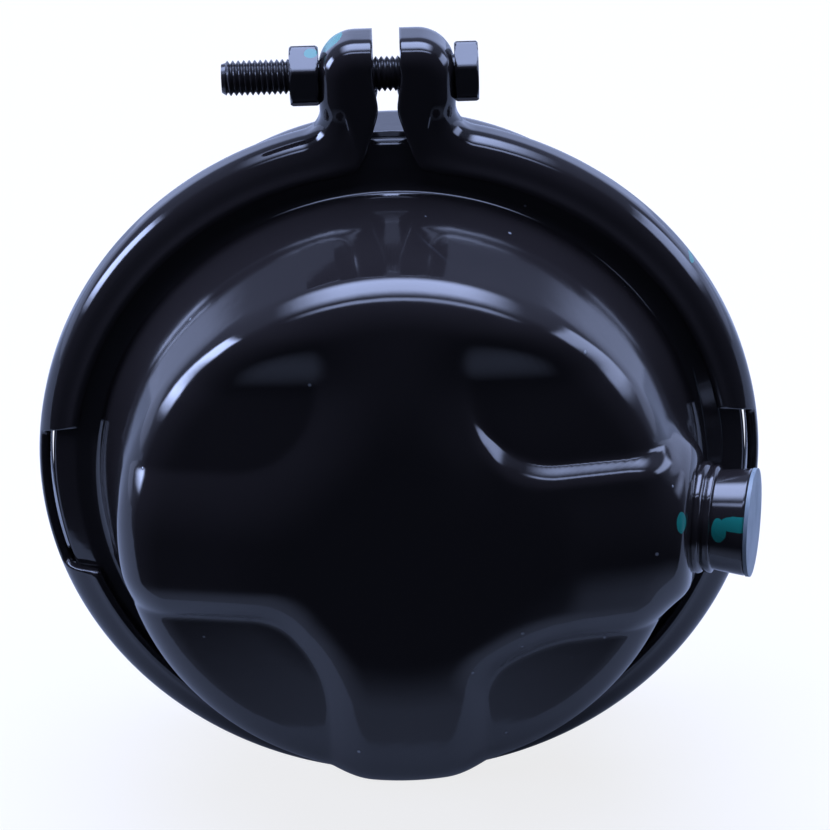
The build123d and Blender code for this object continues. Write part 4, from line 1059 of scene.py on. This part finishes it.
def cap_plastic(name):
    """Pale grey-blue moulded plastic, slightly scuffed, with a dusting of black overspray."""
    cap = Shading(name)
    cloud = cap.noise(90.0, 4.0, 0.6)
    spray = cap.specks(scale=900.0, size=0.3, share=0.12)
    colour = cap.mix(cap.ramp(cloud, 0.35, 0.75), CAP_BLUE, CAP_CLOUD)
    colour = cap.mix(cap.math("MULTIPLY", spray, 0.5), colour, CAP_SPRAY)
    lines = cap.scratches(scale=60.0, stretch=(1.0, 1.0, 0.3), share=0.5, turn=(0.5, 0.2, 0.9))
    colour = cap.mix(cap.math("MULTIPLY", lines, 0.3), colour, CAP_SCRATCH)
    grain = cap.bump(cap.noise(700.0, 3.0, 0.6), distance=0.00004, strength=0.5)
    return cap.finish(Base_Color=colour, Roughness=cap.ramp(cloud, 0.3, 0.8, 0.35, 0.5), Normal=grain)


# Camera, found by matching the clamp's ring and the housing's face to the photograph
IMAGE_SIZE = 830
FOCAL_PIXELS = 3333.0
CAMERA_DISTANCE = 800.0
CAMERA_ELEVATION = math.radians(26.6)
CAMERA_AZIMUTH = math.radians(0.3)
CAMERA_ROLL = math.radians(1.9)
SEAM_CENTRE_PIXEL = (399.4, 457.0)


def make_camera():
    """Camera at the photograph's place, aimed so that the seam's centre falls on its pixel."""
    right = Vector((math.cos(CAMERA_AZIMUTH), math.sin(CAMERA_AZIMUTH), 0))
    level = Vector((-math.sin(CAMERA_AZIMUTH), math.cos(CAMERA_AZIMUTH), 0))
    ahead = level * math.cos(CAMERA_ELEVATION) - Vector((0, 0, math.sin(CAMERA_ELEVATION)))
    up = right.cross(ahead)
    location = Vector((0, SEAM_Y, 0)) - ahead * CAMERA_DISTANCE
    rolled_right = right * math.cos(CAMERA_ROLL) - up * math.sin(CAMERA_ROLL)
    rolled_up = right * math.sin(CAMERA_ROLL) + up * math.cos(CAMERA_ROLL)
    aside = (IMAGE_SIZE / 2 - SEAM_CENTRE_PIXEL[0]) / FOCAL_PIXELS
    above = (SEAM_CENTRE_PIXEL[1] - IMAGE_SIZE / 2) / FOCAL_PIXELS
    aim = (ahead + rolled_right * aside + rolled_up * above).normalized()
    side = aim.cross(rolled_up).normalized()
    top = side.cross(aim)
    data = bpy.data.cameras.new("camera")
    data.sensor_width = 36.0
    data.lens = data.sensor_width * FOCAL_PIXELS / IMAGE_SIZE
    data.clip_start, data.clip_end = 0.05, 20.0
    camera = bpy.data.objects.new("camera", data)
    camera.matrix_world = Matrix((
        (side.x, top.x, -aim.x, location.x * MM),
        (side.y, top.y, -aim.y, location.y * MM),
        (side.z, top.z, -aim.z, location.z * MM),
        (0, 0, 0, 1),
    ))
    bpy.context.scene.collection.objects.link(camera)
    bpy.context.scene.camera = camera


COOL = (0.5, 0.61, 1.0, 1)
LIGHT_LEVEL = 1.41
WHITE = (1, 1, 1, 1)
FLOOR_Z = -87.5
FLOOR_FRONT = -125.0
FLOOR_SIDE = 1600.0
FLOOR_BACK = 2200.0
# The floor's colour to the camera and to all other rays, and the share of white glow in the first
FLOOR_SEEN = (0.8, 0.8, 0.8, 1)
FLOOR_BOUNCED = (0.32, 0.33, 0.34, 1)
FLOOR_GLOW = 0.8

# Panels of light, on planes at distance 1 from the object: the span and the softness of the edges in two
# directions, and the strength
OVERHEAD_PANEL = ((-0.5, 0.58, 0.26), (-0.14, 0.58, 0.17), 6.5)
STREAK_PANEL = ((-0.5, 0.7, 0.2), (-0.5, -0.36, 0.05), 4.0)
LEFT_PANEL = ((-0.24, 0.2, 0.06), (0.2, 0.62, 0.09), 12.0)
RIGHT_PANEL = ((-0.3, 0.45, 0.08), (0.2, 0.56, 0.08), 3.4)
# Ramps of the room: from its dark front to its back, and from the low backdrop upwards
FRONT_TO_BACK = (-0.3, 0.05, 0.018, 0.2)
BACKDROP_FADE = (0.28, 0.6, 0.75, 0.0)
FRONT_FLOOR = 0.3


def floor_sheet():
    """Pale floor that ends just in front of the object and keeps its shadow."""
    corners = [(-FLOOR_SIDE, FLOOR_FRONT), (FLOOR_SIDE, FLOOR_FRONT), (FLOOR_SIDE, FLOOR_BACK),
               (-FLOOR_SIDE, FLOOR_BACK)]
    floor = new_object("floor", [(x, y, FLOOR_Z) for x, y in corners], [(0, 1, 2, 3)])
    material = bpy.data.materials.new("floor_white")
    material.use_nodes = True
    paper = Graph(material.node_tree)
    paper.tree.nodes.remove(paper.tree.nodes["Principled BSDF"])
    shade = paper.node("ShaderNodeBsdfDiffuse", Color=FLOOR_BOUNCED).outputs[0]
    bright = paper.node("ShaderNodeBsdfDiffuse", Color=FLOOR_SEEN).outputs[0]
    glow = paper.node("ShaderNodeEmission", Color=WHITE).outputs[0]
    shown = paper.node("ShaderNodeMixShader", FLOOR_GLOW, bright, glow).outputs[0]
    seen = paper.node("ShaderNodeLightPath").outputs["Is Camera Ray"]
    final = paper.node("ShaderNodeMixShader", seen, shade, shown).outputs[0]
    paper.feed(paper.tree.nodes["Material Output"].inputs["Surface"], final)
    floor.data.materials.append(material)


def room():
    """World: white where the camera looks past the object, else soft panels in a room dark in front."""
    world = bpy.data.worlds.new("room")
    bpy.context.scene.world = world
    world.use_nodes = True
    sky = Graph(world.node_tree)
    toward = sky.node("ShaderNodeTexCoord").outputs["Generated"]
    split = sky.node("ShaderNodeSeparateXYZ", Vector=toward)
    x, y, z = split.outputs

    def panel(ahead, first, second, first_range, second_range, strength):
        """Soft rectangular panel on a plane at distance 1 along one direction."""
        reach = sky.math("MAXIMUM", ahead, 0.05)
        across = sky.window(sky.math("DIVIDE", first, reach), *first_range)
        over = sky.window(sky.math("DIVIDE", second, reach), *second_range)
        return sky.product(sky.ramp(ahead, 0.02, 0.1), across, over, strength)

    leftward = sky.math("MULTIPLY", x, -1.0)
    lift = sky.math("DIVIDE", z, sky.math("MAXIMUM", y, 0.05))
    parts = [
        panel(z, x, y, *OVERHEAD_PANEL),
        panel(z, x, y, *STREAK_PANEL),
        panel(leftward, y, z, *LEFT_PANEL),
        panel(x, y, z, *RIGHT_PANEL),
        sky.ramp(y, *FRONT_TO_BACK),
        sky.product(sky.ramp(y, 0.0, 0.25), sky.ramp(lift, *BACKDROP_FADE)),
        sky.product(sky.ramp(y, 0.1, -0.2), sky.ramp(z, -0.5, -0.85), FRONT_FLOOR),
    ]
    level = parts[0]
    for part in parts[1:]:
        level = sky.math("ADD", level, part)
    level = sky.product(level, LIGHT_LEVEL)
    around = sky.tree.nodes["Background"]
    sky.feed(around.inputs["Color"], COOL)
    sky.feed(around.inputs["Strength"], level)
    backdrop = sky.node("ShaderNodeBackground", Color=WHITE)
    seen = sky.node("ShaderNodeLightPath").outputs["Is Camera Ray"]
    final = sky.node("ShaderNodeMixShader", seen, around.outputs[0], backdrop.outputs[0]).outputs[0]
    sky.feed(sky.tree.nodes["World Output"].inputs["Surface"], final)


# Teal paint marks: the boss with its drip, beside the weld, the left lug, the nut and the band
BOSS_MARKS = [((76.4, -89.6, 2.9), (4.6, 3.0, 1.8)), ((72.3, -89.0, 1.2), (1.7, 3.0, 2.9))]
SHELL_MARKS = [((63.6, -92.0, 5.2), (1.2, 3.0, 2.6))]
CLAMP_MARKS = [((-12.4, -41.5, 104.8), (3.6, 5.5, 2.8)), ((69.5, -45.0, 50.5), (1.2, 3.0, 1.2))]
NUT_MARKS = [((-17.0, -46.6, 104.0), (1.7, 1.5, 1.2))]


def place_piece(piece, body, material, replaced):
    """Give a new piece its material and its body, and hide the node that it stands for."""
    piece.data.materials.append(material)
    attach(piece, body)
    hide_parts(replaced)


black = enamel("black_enamel")
shell_paint = enamel("shell_enamel", SHELL_MARKS)
place_piece(pressure_shell(), "chamber", shell_paint, "pressure_housing")
place_piece(clamp_channel(), "chamber", enamel("clamp_enamel", CLAMP_MARKS), "clamp_band")
hardware = enamel("hardware_enamel", NUT_MARKS, 0.0009, dulled=0.2)
place_piece(clamp_screw(), "chamber", hardware, "clamp_bolt")
place_piece(clamp_screw_nut(), "chamber", hardware, "clamp_nut")
place_piece(weld_bead(), "chamber", enamel("weld_enamel", (), 0.0006), "port_weld_bead")
place_piece(threaded_boss(), "chamber", enamel("boss_enamel", BOSS_MARKS), "port_boss")
zinc = plated("zinc", (0.36, 0.34, 0.29, 1), (0.50, 0.48, 0.44, 1), 0.34)
steel = plated("spring_steel", (0.10, 0.10, 0.11, 1), (0.2, 0.19, 0.18, 1), 0.35)
moulded = rubber("moulded_rubber", (0.018, 0.018, 0.019, 1))
place_piece(threaded_stud(-1), "chamber", zinc, "stud_left")
place_piece(threaded_stud(1), "chamber", zinc, "stud_right")
place_piece(threaded_rod(), "rod", zinc, "push_rod")

spring = coil_spring()
place_piece(spring, "chamber", steel, "return_spring")
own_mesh(spring)

membrane = rubber_diaphragm()
membrane.data.materials.append(moulded)
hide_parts("diaphragm")
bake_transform(membrane)

NODE_MATERIALS = {
    "rear_housing": black, "port_plug": cap_plastic("cap_plastic"),
    "drain_plugs": moulded, "rod_seal": moulded, "push_plate": zinc, "rod_weld": zinc,
    "lock_nut": zinc, "clevis": zinc, "clevis_pin": zinc, "pin_washer": zinc, "cotter_pin": zinc,
}
for name, material in NODE_MATERIALS.items():
    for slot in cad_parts[name].material_slots:
        slot.link = "DATA"
        slot.material = material

make_camera()
floor_sheet()
room()
bpy.context.scene.view_settings.view_transform = "Standard"
